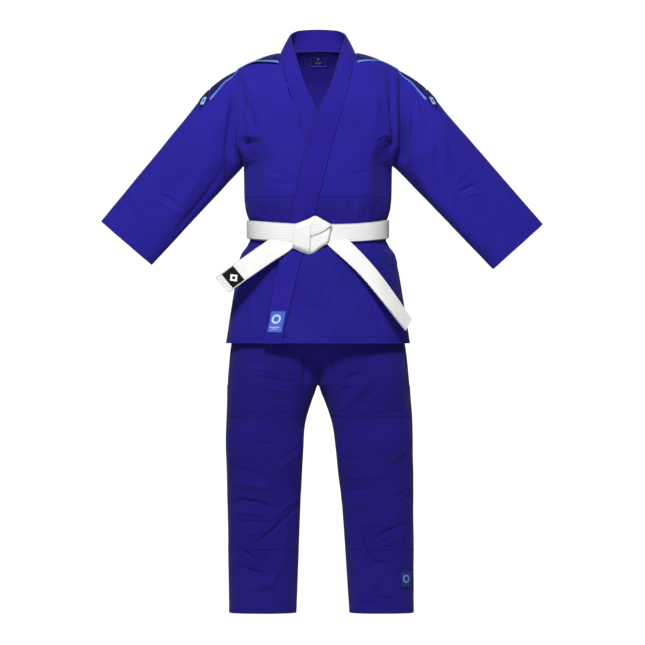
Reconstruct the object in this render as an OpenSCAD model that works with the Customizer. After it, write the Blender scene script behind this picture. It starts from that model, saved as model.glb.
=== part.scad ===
// Martial arts uniform: a wrapped jacket, trousers and a knotted belt, standing as worn.
// X runs to the wearer's left, Y to the wearer's back and Z up, from the belt's centre line.

/* [Jacket body] */
// Half of the chest's width below the armholes
chest_half_w = 181; // [176:1:186]
// Half of the jacket's width between the armhole seams
shoulder_half_w = 196; // [194:1:198]
// Half of the jacket's width under the belt
waist_half_w = 165.5; // [163:0.5:167]
// Half of the jacket's width at the hem
hem_half_w = 223.5; // [221:0.5:228]
// Depth of the chest in front of the side seams
chest_front = 131; // [126:1:136]
// Depth of the back behind the side seams
chest_back = 121; // [116:1:126]
// Depth of the waist in front of the side seams
waist_front = 108; // [106:1:112]
// Depth of the waist behind the side seams
waist_back = 104; // [102:1:108]
// Depth of the hem in front of and behind the side seams
hem_depth = 143; // [141:1:150]
// Thickness of the jacket's cloth
cloth_t = 3; // [2:0.5:3]

/* [Jacket heights] */
// Height of the hem below the belt's centre line
hem_drop = 262; // [250:1:268]
// Height of the side vents' tops below the belt's centre line
vent_drop = 49; // [46:1:56]
// Height of the waist seam
waist_seam_z = 92; // [80:1:100]
// Height of the armholes' lowest point
armpit_z = 184; // [180:1:186]
// Height of the shoulder's end
shoulder_z = 400; // [396:1:402]
// Height of the shoulder beside the neck
neck_side_z = 441; // [438:1:444]
// Half of the neck opening's width
neck_half_w = 92; // [90:1:95]
// Height of the back of the collar
collar_top_z = 498; // [490:1:502]

/* [Lapels] */
// Width of the lapel
lapel_w = 50; // [46:1:52]
// Thickness of the lapel
lapel_t = 5; // [4:0.5:5.5]

/* [Sleeves] */
// Length of the right sleeve from the shoulder's pivot to the cuff
right_sleeve_l = 408; // [380:1:430]
// Length of the left sleeve from the shoulder's pivot to the cuff
left_sleeve_l = 428; // [380:1:440]
// Angle of the right sleeve below the horizontal
right_sleeve_drop = 49.3; // [47:0.1:51]
// Angle of the left sleeve below the horizontal
left_sleeve_drop = 48; // [47:0.1:51]
// Half of the sleeve's width at the shoulder
sleeve_half_w = 93; // [90:1:95]
// Half of the sleeve's width at the cuff
cuff_half_w = 82; // [76:1:86]
// Half of the sleeve's depth at the cuff
cuff_half_d = 42; // [36:1:48]
// Width of the folded cuff
cuff_w = 42; // [30:1:50]

/* [Trousers] */
// Half of the trousers' width at the waist
trouser_waist_half_w = 150; // [146:1:152]
// Half of the trousers' depth at the waist
trouser_waist_half_d = 92; // [90:1:94]
// Height of the crotch below the belt's centre line
crotch_drop = 362; // [355:1:368]
// Height of the trousers' hem below the belt's centre line
trouser_drop = 916; // [880:1:940]
// Thickness of the trousers' cloth
trouser_t = 2.5; // [2:0.5:2.5]
// Height of the waistband
waistband_h = 42; // [38:1:46]

/* [Belt] */
// Width of the belt
belt_w = 42; // [38:1:42]
// Thickness of one layer of the belt
belt_t = 2.4; // [2:0.1:2.4]
// Drop of the belt at the front, from its height at the sides
belt_sag = 11; // [6:1:12]

/* [Hidden] */

RIGHT = -1;
LEFT = 1;
FRONT = -1;
BACK = 1;

royal_blue = [0.13, 0.10, 0.62];
navy = [0.03, 0.03, 0.16];
sky_blue = [0.35, 0.55, 0.85];
belt_white = [0.93, 0.93, 0.92];
label_black = [0.04, 0.04, 0.04];

// A gap between neighbours of one body, and one between bodies that move
seam_gap = 0.5;
joint_gap = 1.2;

// Heights as positions
hem_z = -hem_drop;
vent_z = -vent_drop;
crotch_z = -crotch_drop;
trouser_z = -trouser_drop;
// The zone that the belt presses flat
belt_low = -22;
belt_high = 38;
// Where the chest starts to curve over into the shoulders, and the armhole's half depth
crown_z = 255;
arm_half_d = 75;
// Roundness of the jacket's and the trouser legs' sections
jacket_n = 2.4;
leg_n = 2.6;

// Layers of the wrapped front, measured out from the jacket's base surface
over = [-cloth_t, 0];
under = [-cloth_t - 4.2, -4.2];
over_lapel = [-cloth_t, lapel_t - cloth_t];
under_lapel = [-lapel_t - 4, -4];

// Shoulder pivot: the sleeves turn here about lines along Y
pivot_x = 199;
pivot_z = 290;
cap_r = 107;
sleeve_r = cap_r + 2 * joint_gap;
// Hip pivot: the legs turn here about lines along X
hip_z = -300;
stub_r = 119;
leg_r = stub_r + 2 * joint_gap;

function mix(a, b, t) = a + (b - a) * t;
function ease(t) = let(c = min(1, max(0, t))) c * c * (3 - 2 * c);
function power(v, e) = sign(v) * pow(abs(v), e);
function steps(n) = [for (i = [0:n]) i / n];
function unit(v) = v / norm(v);

// ---------- Solids from grids of points ----------

function tri(a, b, c, flip) = flip ? [a, c, b] : [a, b, c];
function quad(a, b, c, d, flip) = [tri(a, b, c, flip), tri(a, c, d, flip)];

// A closed solid between two grids of the same size; wrap joins each row's ends into a ring
module shell(outer, inner, wrap = false) {
    m = len(outer) - 1;
    w = len(outer[0]);
    n = wrap ? w : w - 1;
    i0 = floor((m - 1) / 2);
    j0 = floor((n - 1) / 2);
    along = outer[i0 + 1][j0] - outer[i0][j0];
    across = outer[i0][(j0 + 1) % w] - outer[i0][j0];
    flip = cross(along, across) * (outer[i0][j0] - inner[i0][j0]) > 0;
    function at(i, j) = i * w + j % w;
    function under_at(i, j) = (m + 1) * w + at(i, j);
    faces = [
        for (i = [0:m - 1], j = [0:n - 1])
            each quad(at(i, j), at(i + 1, j), at(i + 1, j + 1), at(i, j + 1), flip),
        for (i = [0:m - 1], j = [0:n - 1])
            each quad(under_at(i, j), under_at(i + 1, j), under_at(i + 1, j + 1), under_at(i, j + 1), !flip),
        for (j = [0:n - 1])
            each quad(at(0, j), at(0, j + 1), under_at(0, j + 1), under_at(0, j), flip),
        for (j = [0:n - 1])
            each quad(at(m, j + 1), at(m, j), under_at(m, j), under_at(m, j + 1), flip),
        for (i = [0:m - 1]) if (!wrap)
            each quad(at(i + 1, 0), at(i, 0), under_at(i, 0), under_at(i + 1, 0), flip),
        for (i = [0:m - 1]) if (!wrap)
            each quad(at(i, n), at(i + 1, n), under_at(i + 1, n), under_at(i, n), flip)
    ];
    polyhedron([each [for (row = outer) each row], each [for (row = inner) each row]], faces, convexity = 8);
}

// ---------- The jacket's base surface ----------

jacket_width = [
    [hem_z, hem_half_w], [-150, 206], [vent_z, 187.5], [belt_low, waist_half_w], [belt_high, waist_half_w],
    [62, 175], [waist_seam_z, chest_half_w - 1], [165, chest_half_w], [armpit_z, chest_half_w + 4],
    [218, shoulder_half_w], [shoulder_z, shoulder_half_w]
];
jacket_front = [
    [hem_z, hem_depth], [-150, 133], [vent_z, 122], [belt_low, waist_front], [belt_high, waist_front],
    [waist_seam_z, chest_front - 8], [200, chest_front], [crown_z, chest_front - 1]
];
jacket_back = [
    [hem_z, hem_depth], [-150, 131], [vent_z, 119], [belt_low, waist_back], [belt_high, waist_back],
    [waist_seam_z, chest_back - 7], [200, chest_back], [crown_z, chest_back - 1]
];

// Height of the shoulder line, u of the way from the middle to the armhole; the back rises at the neck
neck_u = neck_half_w / shoulder_half_w;
neck_rise = 32;
function ridge_z(u, side) =
    let(a = abs(u))
    a >= neck_u ? mix(neck_side_z, shoulder_z, pow((a - neck_u) / (1 - neck_u), 1.5))
    : side == FRONT ? neck_side_z
    : neck_side_z + neck_rise * (1 - pow(a / neck_u, 2));

// Half depth of the armhole's edge
function arm_y(z) =
    z < armpit_z ? 0 : arm_half_d * sqrt(1 - pow(max(0, (crown_z - z) / (crown_z - armpit_z)), 2));

// A point u across the width (-1 to 1) at height z, o outside the base surface
function jacket_point(u, z, o, side) =
    let(
        top = ridge_z(u, side) + o,
        zz = min(z, top),
        w = lookup(zz, jacket_width) + o,
        d = lookup(zz, side == FRONT ? jacket_front : jacket_back) + o,
        e = arm_y(zz) * (1 + o / arm_half_d),
        y = e + (d - e) * pow(1 - pow(min(1, abs(u)), jacket_n), 1 / jacket_n),
        k = zz < crown_z ? 1 : sqrt(max(0, 1 - pow((zz - crown_z) / (top - crown_z), 2)))
    )
    [u * w, side * (y * k + seam_gap / 2), zz];

// The same point named by its x
function jacket_at(x, z, o, side) = jacket_point(x / lookup(z, jacket_width), z, o, side);

// Height of row v on a panel that starts at low and ends over the shoulder, o outside the base surface;
// phi_top is 90 on the ridge
function panel_z(v, u, low, phi_top, o, side) =
    v < 1 ? mix(low, crown_z, v) : crown_z + (ridge_z(u, side) + o - crown_z) * sin((v - 1) * phi_top);

// Spreads columns closer together near the side seam, from a to the seam at u = s
function toward_side(a, s, t) = mix(a, s, sin(90 * t));

// ---------- Lapel lines ----------

// The over lapel's free edge and seam, as x at height z; the under lapel mirrors them
free_line = [[hem_z, -131], [-66, -92], [29, -65], [98, -53], [221, -26], [289, -2], [377, 36], [425, 52]];
lapel_reach = [[hem_z, -5], [-66, 0], [46, 3], [124, 8], [221, 11], [328, -1], [385, -11], [441, -15]];
function free_x(z) = lookup(z, free_line);
function seam_x(z) = min(neck_half_w + 2, free_x(z) + lapel_w + lookup(z, lapel_reach));

// Rows of a panel: up to the crown by height, then by the curve over the shoulder
panel_rows = [for (i = [0:13]) i < 5 ? i / 5 : 1 + (i - 5) / 8];

function skirt_heights() = [hem_z, -205, -150, -100, vent_z, belt_low, belt_high, 62, waist_seam_z - seam_gap];

// ---------- Jacket modules ----------

// One front from the waist seam to the shoulder, on the side given by hand
module front_panel(hand, layer_at) {
    low = waist_seam_z + seam_gap;
    function grid(k) = [
        for (v = panel_rows) [
            for (t = steps(9))
                let(
                    edge_z = panel_z(v, 0, low, 90, 0, FRONT),
                    a = mix((seam_x(edge_z) + seam_gap) / lookup(edge_z, jacket_width), neck_u + 0.012, ease(v - 1)),
                    u = toward_side(a, 1, t),
                    o = layer_at(hand * u, crown_z)[k]
                )
                jacket_point(hand * u, panel_z(v, u, low, 90, o, FRONT), o, FRONT)
        ]
    ];
    shell(grid(1), grid(0));
}

// The under front drops further near the hem, to clear the over front's folded hem
function hem_room(z) = 3.6 * ease((-150 - z) / 50);

// The under layer rises to the surface towards its side seam
function under_layer(u, z) =
    let(k = ease((1 + u) / 0.3), drop = hem_room(z))
    [mix(over[0], under[0] - drop, k), mix(over[1], under[1] - drop, k)];
function over_layer(u, z) = over;

module right_front_panel() {
    color(royal_blue) front_panel(RIGHT, function (u, z) under_layer(u, z));
}

module left_front_panel() {
    color(royal_blue) front_panel(LEFT, function (u, z) over_layer(u, z));
}

// The part of a front below the waist seam
module front_skirt(hand, layer_at, heights) {
    function inner_u(z) = (seam_x(z) + seam_gap) / lookup(z, jacket_width);
    function grid(k) = [
        for (z = heights) [
            for (t = steps(10))
                let(u = toward_side(inner_u(z), 1, t))
                jacket_point(hand * u, z, layer_at(hand * u, z)[k], FRONT)
        ]
    ];
    shell(grid(1), grid(0));
}

module right_front_skirt() {
    color(royal_blue) front_skirt(RIGHT, function (u, z) under_layer(u, z), skirt_heights());
}

module left_front_skirt() {
    color(royal_blue) front_skirt(LEFT, function (u, z) over_layer(u, z), skirt_heights());
}

// The folded hem inside a front's lower edge
module front_hem(hand, layer_at) {
    fold = 18;
    inset = cloth_t + 0.4;
    front_skirt(hand, function (u, z) layer_at(u, z) - [inset, inset], [hem_z + 0.5, hem_z + fold]);
}

module right_front_hem() {
    color(royal_blue) front_hem(RIGHT, function (u, z) under_layer(u, z));
}

module left_front_hem() {
    color(royal_blue) front_hem(LEFT, function (u, z) over_layer(u, z));
}

// A lapel on the chest, from the hem to the neck
module front_lapel(hand, layer) {
    heights = [hem_z, -205, -150, -100, vent_z, belt_low, belt_high, waist_seam_z, 150, 210, crown_z, 300, 345, 378];
    function drop(z) = hand == RIGHT ? hem_room(z) : 0;
    function grid(o) = [
        for (z = heights) [
            for (t = steps(3)) jacket_at(hand * mix(free_x(z), seam_x(z), t), z, o - drop(z), FRONT)
        ]
    ];
    shell(grid(layer[1]), grid(layer[0]));
}

module right_lapel() {
    color(royal_blue) front_lapel(RIGHT, under_lapel);
}

module left_lapel() {
    color(royal_blue) front_lapel(LEFT, over_lapel);
}

// The band round the neck: lower seam and upper edge from the left lapel's top to the middle of the back
collar_seam = [
    jacket_at(seam_x(380.6), 380.6, 1, FRONT), [84, -64, 416], [90, -24, 440], [88, 16, 446.5], [64, 43, 449.5],
    [0, 59.5, 451.5]
];
collar_edge = [
    jacket_at(free_x(380.6), 380.6, 1, FRONT), [50, -74, 428], [62, -36, 462], [67, 4, 484], [50, 44, 496],
    [0, 63, collar_top_z]
];
function both_sides(half) = [
    for (p = half) p,
    for (i = [len(half) - 2:-1:0]) [-half[i][0], half[i][1], half[i][2]]
];
// Two points between each pair, on a smooth curve
function smooth(p) = [
    for (i = [0:len(p) - 2])
        let(a = p[max(0, i - 1)], b = p[i], c = p[i + 1], d = p[min(len(p) - 1, i + 2)])
        for (t = [0, 1 / 3, 2 / 3])
            0.5 * (2 * b + (c - a) * t + (2 * a - 5 * b + 4 * c - d) * t * t + (3 * b - a - 3 * c + d) * t * t * t),
    p[len(p) - 1]
];
function collar_normal(s, e, i) =
    unit(cross(s[min(len(s) - 1, i + 1)] - s[max(0, i - 1)], e[i] - s[i]));

module collar() {
    s = smooth(both_sides(collar_seam));
    e = smooth(both_sides(collar_edge));
    function grid(o) = [
        for (t = [0, 0.5, 1]) [
            for (i = [0:len(s) - 1]) mix(s[i], e[i], t) + collar_normal(s, e, i) * o
        ]
    ];
    color(royal_blue) shell(grid(lapel_t / 2), grid(-lapel_t / 2));
}

// The back from the waist seam to the shoulders and the neck
module back_panel() {
    neck_y = 57;
    function phi_top(u) =
        abs(u) >= neck_u ? 90 : acos(neck_y / (chest_back - 1) * sqrt(1 - pow(u / neck_u, 2)));
    function grid(o) = [
        for (v = panel_rows) [
            for (t = steps(20))
                let(u = -cos(180 * t))
                jacket_point(u, panel_z(v, u, waist_seam_z + seam_gap, phi_top(u), o, BACK), o, BACK)
        ]
    ];
    color(royal_blue) shell(grid(over[1]), grid(over[0]));
}

function back_rows(heights, o) = [
    for (z = heights) [for (t = steps(20)) jacket_point(-cos(180 * t), z, o, BACK)]
];

module back_skirt_top() {
    heights = [vent_z, belt_low, belt_high, 62, waist_seam_z - seam_gap];
    color(royal_blue) shell(back_rows(heights, over[1]), back_rows(heights, over[0]));
}

module back_skirt() {
    heights = [hem_z, -205, -150, -100, vent_z - 2 * joint_gap];
    color(royal_blue) shell(back_rows(heights, over[1]), back_rows(heights, over[0]));
}

module back_hem() {
    heights = [hem_z + 0.5, hem_z + 18];
    fold = cloth_t + 0.4;
    color(royal_blue) shell(back_rows(heights, over[1] - fold), back_rows(heights, over[0] - fold));
}

// A reinforcing triangle at the top of a side vent, sewn on the front
module vent_patch(hand) {
    function grid(o) = [
        for (z = [vent_z - 22, vent_z, vent_z + 20]) [
            for (t = steps(4)) jacket_point(hand * mix(0.985, 0.93, t), z, o, FRONT)
        ]
    ];
    shell(grid(1.6), grid(0.4));
}

module right_vent_patch() {
    color(royal_blue) vent_patch(RIGHT);
}

module left_vent_patch() {
    color(royal_blue) vent_patch(LEFT);
}

module lapel_patch() {
    half = 19.5;
    function grid(o) = [
        for (z = [-236, -185]) [
            for (t = steps(3)) jacket_at(mix(free_x(z), seam_x(z), 0.5) + mix(-half, half, t), z, o, FRONT)
        ]
    ];
    color(sky_blue) shell(grid(over_lapel[1] + 1.6), grid(over_lapel[1] + 0.4));
}

module neck_label() {
    label_w = 40;
    label_h = 31;
    function grid(o) = [
        for (z = [417, 417 + label_h]) [
            for (t = steps(4)) jacket_at(mix(-label_w / 2, label_w / 2, t), z, o, BACK)
        ]
    ];
    color(navy) shell(grid(-cloth_t - 1), grid(-cloth_t - 2.1));
}

// ---------- Sleeve caps and sleeves ----------

// Directions along a sleeve and across it
function sleeve_along(hand, drop) = [hand * cos(drop), 0, -sin(drop)];
function sleeve_across(hand, drop) = [hand * sin(drop), 0, cos(drop)];
function pivot(hand) = [hand * pivot_x, 0, pivot_z];
function sleeve_l(hand) = hand == LEFT ? left_sleeve_l : right_sleeve_l;
function sleeve_drop(hand) = hand == LEFT ? left_sleeve_drop : right_sleeve_drop;

// A ring on a drum round the pivot, from the angle low to the angle high above the horizontal
function drum_point(hand, theta, r, low, high, half_d) =
    let(phi = mix(low, high, (1 + cos(theta)) / 2))
    pivot(hand) + [hand * r * cos(phi), half_d * power(sin(theta), 0.9), r * sin(phi)];

// A point round the straight part of a sleeve, s from the pivot
function sleeve_point(hand, theta, s, o) =
    let(
        l = sleeve_l(hand),
        t = (s - 110) / (l - 110),
        a = mix(sleeve_half_w, cuff_half_w, t) + o,
        b = mix(70, cuff_half_d, t) + o
    )
    pivot(hand) + sleeve_along(hand, sleeve_drop(hand)) * s
        + sleeve_across(hand, sleeve_drop(hand)) * a * power(cos(theta), 0.9) + [0, b * power(sin(theta), 0.9), 0];

// The armhole's edge as a ring
function armhole_point(hand, theta, o) =
    let(
        z = mix(armpit_z + 3, shoulder_z + o - 0.5, (1 + cos(theta)) / 2),
        p = jacket_point(hand, z, o, sin(theta) < 0 ? FRONT : BACK)
    )
    p + [hand * 3 * seam_gap, 0, 0];

// A point on the cap, t of the way from the armhole to the drum
function cap_point(hand, theta, t, o) =
    let(
        a = armhole_point(hand, theta, o),
        e = drum_point(hand, theta, cap_r, -92, 9.5 + o / 3, 71 + o),
        bulge = 22 * ease((1 + cos(theta)) / 2),
        c = (a + e) / 2 + [hand * 0.64, 0, 0.77] * bulge
    )
    a * (1 - t) * (1 - t) + c * 2 * t * (1 - t) + e * t * t;

ring_angles = [for (i = [0:23]) i * 15];

module sleeve_cap(hand) {
    function rings(o) = [for (t = steps(4)) [for (a = ring_angles) cap_point(hand, a, t, o)]];
    shell(rings(0), rings(-cloth_t), wrap = true);
}

module right_sleeve_cap() {
    color(royal_blue) sleeve_cap(RIGHT);
}

module left_sleeve_cap() {
    color(royal_blue) sleeve_cap(LEFT);
}

module sleeve(hand) {
    l = sleeve_l(hand);
    function root(o) = [
        for (a = ring_angles) drum_point(hand, a, sleeve_r, -84, 9.5 + o / 3, 70 + o)
    ];
    function rings(o) = [
        root(o),
        for (s = [150, 230, 310, l]) [for (a = ring_angles) sleeve_point(hand, a, s, o)]
    ];
    shell(rings(0), rings(-cloth_t), wrap = true);
}

module right_sleeve() {
    color(royal_blue) sleeve(RIGHT);
}

module left_sleeve() {
    color(royal_blue) sleeve(LEFT);
}

// The folded band inside the end of a sleeve
module cuff(hand) {
    l = sleeve_l(hand);
    function rings(o) = [
        for (s = [l - cuff_w, l - 0.5]) [for (a = ring_angles) sleeve_point(hand, a, s, o)]
    ];
    shell(rings(-cloth_t - 0.4), rings(-2 * cloth_t - 0.4), wrap = true);
}

module right_cuff() {
    color(royal_blue) cuff(RIGHT);
}

module left_cuff() {
    color(royal_blue) cuff(LEFT);
}

// ---------- Shoulder trim ----------

// A strip over the shoulder line between two distances down the front and the back, in degrees of its curve
function shoulder_point(hand, u, phi, o) =
    let(z = crown_z + (ridge_z(u, phi < 0 ? FRONT : BACK) + o - crown_z) * cos(phi))
    jacket_point(hand * u, z, o, phi < 0 ? FRONT : BACK);

module shoulder_strip(hand, from_phi, to_phi, layer) {
    function grid(o) = [
        for (u = [neck_u + 0.04, 0.62, 0.76, 0.88, 0.985]) [
            for (t = steps(8)) shoulder_point(hand, u, mix(from_phi, to_phi, t), o)
        ]
    ];
    shell(grid(layer[1]), grid(layer[0]));
}

module cap_strip(hand, from_theta, to_theta, layer, start = 0.03, finish = 0.78) {
    function grid(o) = [
        for (t = steps(4)) [
            for (k = steps(4)) cap_point(hand, mix(from_theta, to_theta, k), mix(start, finish, t), o)
        ]
    ];
    shell(grid(layer[1]), grid(layer[0]));
}

yoke_layer = [0.5, 1.6];
yoke_phi = 24;

module shoulder_yoke(hand) {
    shoulder_strip(hand, -yoke_phi, yoke_phi, yoke_layer);
    cap_strip(hand, -yoke_phi, yoke_phi, yoke_layer);
}

module right_shoulder_yoke() {
    color(navy) shoulder_yoke(RIGHT);
}

module left_shoulder_yoke() {
    color(navy) shoulder_yoke(LEFT);
}

// The light piping along the yoke's front edge and its back edge
module shoulder_piping(hand) {
    for (side = [FRONT, BACK]) {
        near = side * (yoke_phi + 0.5);
        far = side * (yoke_phi + 3);
        shoulder_strip(hand, min(near, far), max(near, far), yoke_layer);
        cap_strip(hand, min(near, far), max(near, far), yoke_layer);
    }
}

module right_shoulder_piping() {
    color(sky_blue) shoulder_piping(RIGHT);
}

module left_shoulder_piping() {
    color(sky_blue) shoulder_piping(LEFT);
}

module shoulder_badge(hand) {
    cap_strip(hand, -24, -4, yoke_layer, start = 0.8, finish = 0.985);
}

module right_shoulder_badge() {
    color(sky_blue) shoulder_badge(RIGHT);
}

module left_shoulder_badge() {
    color(sky_blue) shoulder_badge(LEFT);
}

// ---------- Belt ----------

// A point round the waist; beta is 270 at the middle of the front
function belt_point(beta, lift, o) =
    let(
        depth = sin(beta) < 0 ? waist_front : waist_back,
        sag = belt_sag * pow(max(0, -sin(beta)), 2)
    )
    [
        (waist_half_w + o) * power(cos(beta), 2 / jacket_n),
        (depth + o) * power(sin(beta), 2 / jacket_n) + sign(sin(beta)) * seam_gap / 2,
        13.5 - sag + lift
    ];

belt_angles = [for (i = [0:35]) i * 10];

module belt_wrap(o) {
    function rings(k) = [for (h = [-belt_w / 2, 0, belt_w / 2]) [for (b = belt_angles) belt_point(b, h, k)]];
    shell(rings(o + belt_t), rings(o), wrap = true);
}

belt_o = lapel_t - cloth_t + 0.5;

module belt_inner_wrap() {
    color(belt_white) belt_wrap(belt_o);
}

module belt_outer_wrap() {
    color(belt_white) belt_wrap(belt_o + belt_t + 0.4);
}

// The knot's outline, seen from the front
knot_outline = [[-52, 25], [-7, 41], [32, 23], [22, -23], [-20, -49], [-61, -33]];
knot_y = -waist_front - belt_o - 2 * belt_t - 2.5;
knot_t = 20;

module belt_knot() {
    color(belt_white) hull() {
        translate([0, knot_y - 4, 0]) rotate([90, 0, 0]) linear_extrude(knot_t - 10) polygon(knot_outline);
        translate([0, knot_y, 0]) rotate([90, 0, 0]) linear_extrude(knot_t) offset(delta = -9) polygon(knot_outline);
    }
}

// A tail lies along a curve of its middle line, in front of the skirt
module belt_tail(path, reach) {
    line = smooth(path);
    function side_way(i) =
        let(t = line[min(len(line) - 1, i + 1)] - line[max(0, i - 1)])
        unit([t[2], 0, -t[0]]);
    function grid(o) = [
        for (k = [-1, 0, 1]) [
            for (i = [0:len(line) - 1]) line[i] + side_way(i) * k * belt_w / 2 + [0, -o, 0]
        ]
    ];
    shell(grid(reach + belt_t * 1.25), grid(reach));
}

right_tail_path = [[-92, -122, -33], [-135, -129, -60], [-180, -125, -92], [-230, -107, -124]];
left_tail_path = [[49, -124, -33], [104, -137, -72], [162, -138, -134], [218, -122, -216]];

module right_belt_tail() {
    color(belt_white) belt_tail(right_tail_path, 0);
}

module left_belt_tail() {
    color(belt_white) belt_tail(left_tail_path, 0);
}

// The woven label near the right tail's end
module belt_label() {
    line = smooth(right_tail_path);
    first = len(line) - 3;
    function grid(o) = [
        for (k = [-0.8, 0.8]) [
            for (i = [first:len(line) - 2])
                let(t = unit([line[i + 1][0] - line[i - 1][0], 0, line[i + 1][2] - line[i - 1][2]]))
                line[i] + [t[2], 0, -t[0]] * k * belt_w / 2 + [0, -o, 0]
        ]
    ];
    color(label_black) shell(grid(belt_t * 1.25 + 1.4), grid(belt_t * 1.25 + 0.3));
}

// ---------- Trousers ----------

hip_width = [[-15, trouser_waist_half_w + 1], [vent_z, 170], [-150, 194], [-266, 212], [crotch_z, 220]];
hip_depth = [[-15, trouser_waist_half_d + 1], [vent_z, 102], [-150, 113], [-266, 118], [crotch_z, 107]];

// Where the crotch gusset is sewn to a leg, round the leg from its outer side
inseam_angle = 160;

// Outer and inner edges of each leg, and half of its depth
right_outer = [[trouser_z, -216], [-700, -219], [-484, -222], [crotch_z, -220], [hip_z, -216]];
right_inner = [[trouser_z, -52], [-593, -40], [-484, -35], [-400, -14], [crotch_z, 5]];
left_outer = [[trouser_z, 233], [-700, 232], [-484, 230], [crotch_z, 223], [hip_z, 218]];
left_inner = [[trouser_z, 76], [-593, 53], [-484, 40], [-400, 15], [crotch_z, -5]];
leg_depth = [[trouser_z, 69], [-760, 73], [-600, 81], [-484, 92], [crotch_z, 106], [hip_z, 112]];

function leg_point(hand, beta, z, o) =
    let(
        xo = lookup(z, hand == LEFT ? left_outer : right_outer) + hand * o,
        xi = lookup(z, hand == LEFT ? left_inner : right_inner) - hand * o,
        d = lookup(z, leg_depth) + o
    )
    [
        (xo + xi) / 2 + hand * abs(xo - xi) / 2 * power(cos(beta), 2 / leg_n),
        d * power(sin(beta), 2 / leg_n),
        z
    ];

// A point on the hips, tau from the front middle (-1) over the side to the back middle (1)
function hip_point(hand, tau, z, o) =
    let(
        m = ease((-250 - z) / (-250 - crotch_z)),
        w = lookup(z, hip_width) + (hand == LEFT ? 2 : 0) * m + o,
        d = lookup(z, hip_depth) + o,
        h = [
            hand * max(seam_gap / 2, w * power(cos(90 * tau), 2 / jacket_n)),
            d * power(sin(90 * tau), 2 / jacket_n), z
        ],
        g = leg_point(hand, inseam_angle * tau, z, o),
        p = mix(h, g, m)
    )
    [hand * max(seam_gap / 2, hand * p[0]), p[1], p[2]];

// The lowest height of a drum round the hip pivot, y away from its middle
function drum_low(y, r) = hip_z - sqrt(max(0, r * r - y * y));

function stub_low(hand, tau, r, o) =
    let(y = hip_point(hand, tau, crotch_z, o)[1])
    drum_low(y, r);

module hip_panel(hand) {
    low_rows = 3;
    heights = [-16, vent_z, -100, -150, -205, -260, hip_z];
    function grid(o) = [
        for (z = heights) [for (t = steps(18)) hip_point(hand, 2 * t - 1, z, o)],
        for (i = [1:low_rows]) [
            for (t = steps(18))
                let(tau = 2 * t - 1)
                hip_point(hand, tau, mix(hip_z, stub_low(hand, tau, stub_r, o), i / low_rows), o)
        ]
    ];
    shell(grid(0), grid(-trouser_t));
}

module right_hip_panel() {
    color(royal_blue) hip_panel(RIGHT);
}

module left_hip_panel() {
    color(royal_blue) hip_panel(LEFT);
}

// The saddle between the legs
module crotch_gusset() {
    half_d = 44;
    reach = 19;
    rise = 2.7;
    function arch(side, y, o) =
        [side * reach, y, mix(crotch_z - 2, drum_low(y, stub_r) + 2, abs(side)) + rise * o];
    function grid(o) = [
        for (y = [-half_d, -half_d / 2, 0, half_d / 2, half_d]) [for (side = [-1, -0.5, 0, 0.5, 1]) arch(side, y, o)]
    ];
    color(royal_blue) shell(grid(trouser_t), grid(0));
}

function waist_ring(z, o) = [
    for (b = belt_angles)
        [
            (trouser_waist_half_w + o) * power(cos(b), 2 / jacket_n),
            (trouser_waist_half_d + o) * power(sin(b), 2 / jacket_n),
            z
        ]
];

module waistband() {
    heights = [-15.4, 5, -15.4 + waistband_h];
    color(royal_blue)
        shell([for (z = heights) waist_ring(z, 1.5)], [for (z = heights) waist_ring(z, -3)], wrap = true);
}

// Cloth loops at the front of the waistband, for the cord
module drawcord_loops() {
    loop_w = 10;
    loop_h = 30;
    loop_t = 1.8;
    for (x = [-40, 0, 40])
        color(royal_blue)
            translate([x - loop_w / 2, -trouser_waist_half_d - 1.7 - loop_t, -8]) cube([loop_w, loop_t, loop_h]);
}

leg_angles = [for (i = [0:23]) i * 15];

module leg_panel(hand) {
    heights = [-440, -484, -600, -760, trouser_z];
    function root(o) = [
        for (b = leg_angles) leg_point(hand, b, drum_low(leg_point(hand, b, -380, o)[1], leg_r), o)
    ];
    function rings(o) = [root(o), for (z = heights) [for (b = leg_angles) leg_point(hand, b, z, o)]];
    shell(rings(0), rings(-trouser_t), wrap = true);
}

module right_leg_panel() {
    color(royal_blue) leg_panel(RIGHT);
}

module left_leg_panel() {
    color(royal_blue) leg_panel(LEFT);
}

// The second layer over the knee, on the front of the leg
module knee_patch(hand) {
    function grid(o) = [
        for (z = [-760, -600, -484, -440]) [
            for (t = steps(10)) leg_point(hand, mix(195, 345, t), z, o)
        ]
    ];
    shell(grid(1.9), grid(0.4));
}

module right_knee_patch() {
    color(royal_blue) knee_patch(RIGHT);
}

module left_knee_patch() {
    color(royal_blue) knee_patch(LEFT);
}

module leg_hem(hand) {
    function rings(o) = [for (z = [trouser_z + 0.5, trouser_z + 30]) [for (b = leg_angles) leg_point(hand, b, z, o)]];
    shell(rings(-trouser_t - 0.4), rings(-2 * trouser_t - 0.4), wrap = true);
}

module right_leg_hem() {
    color(royal_blue) leg_hem(RIGHT);
}

module left_leg_hem() {
    color(royal_blue) leg_hem(LEFT);
}

module trouser_badge() {
    function grid(o) = [
        for (z = [-851, -814]) [for (t = steps(3)) leg_point(LEFT, mix(302, 330, t), z, o)]
    ];
    color(navy) shell(grid(1.5), grid(0.4));
}

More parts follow.
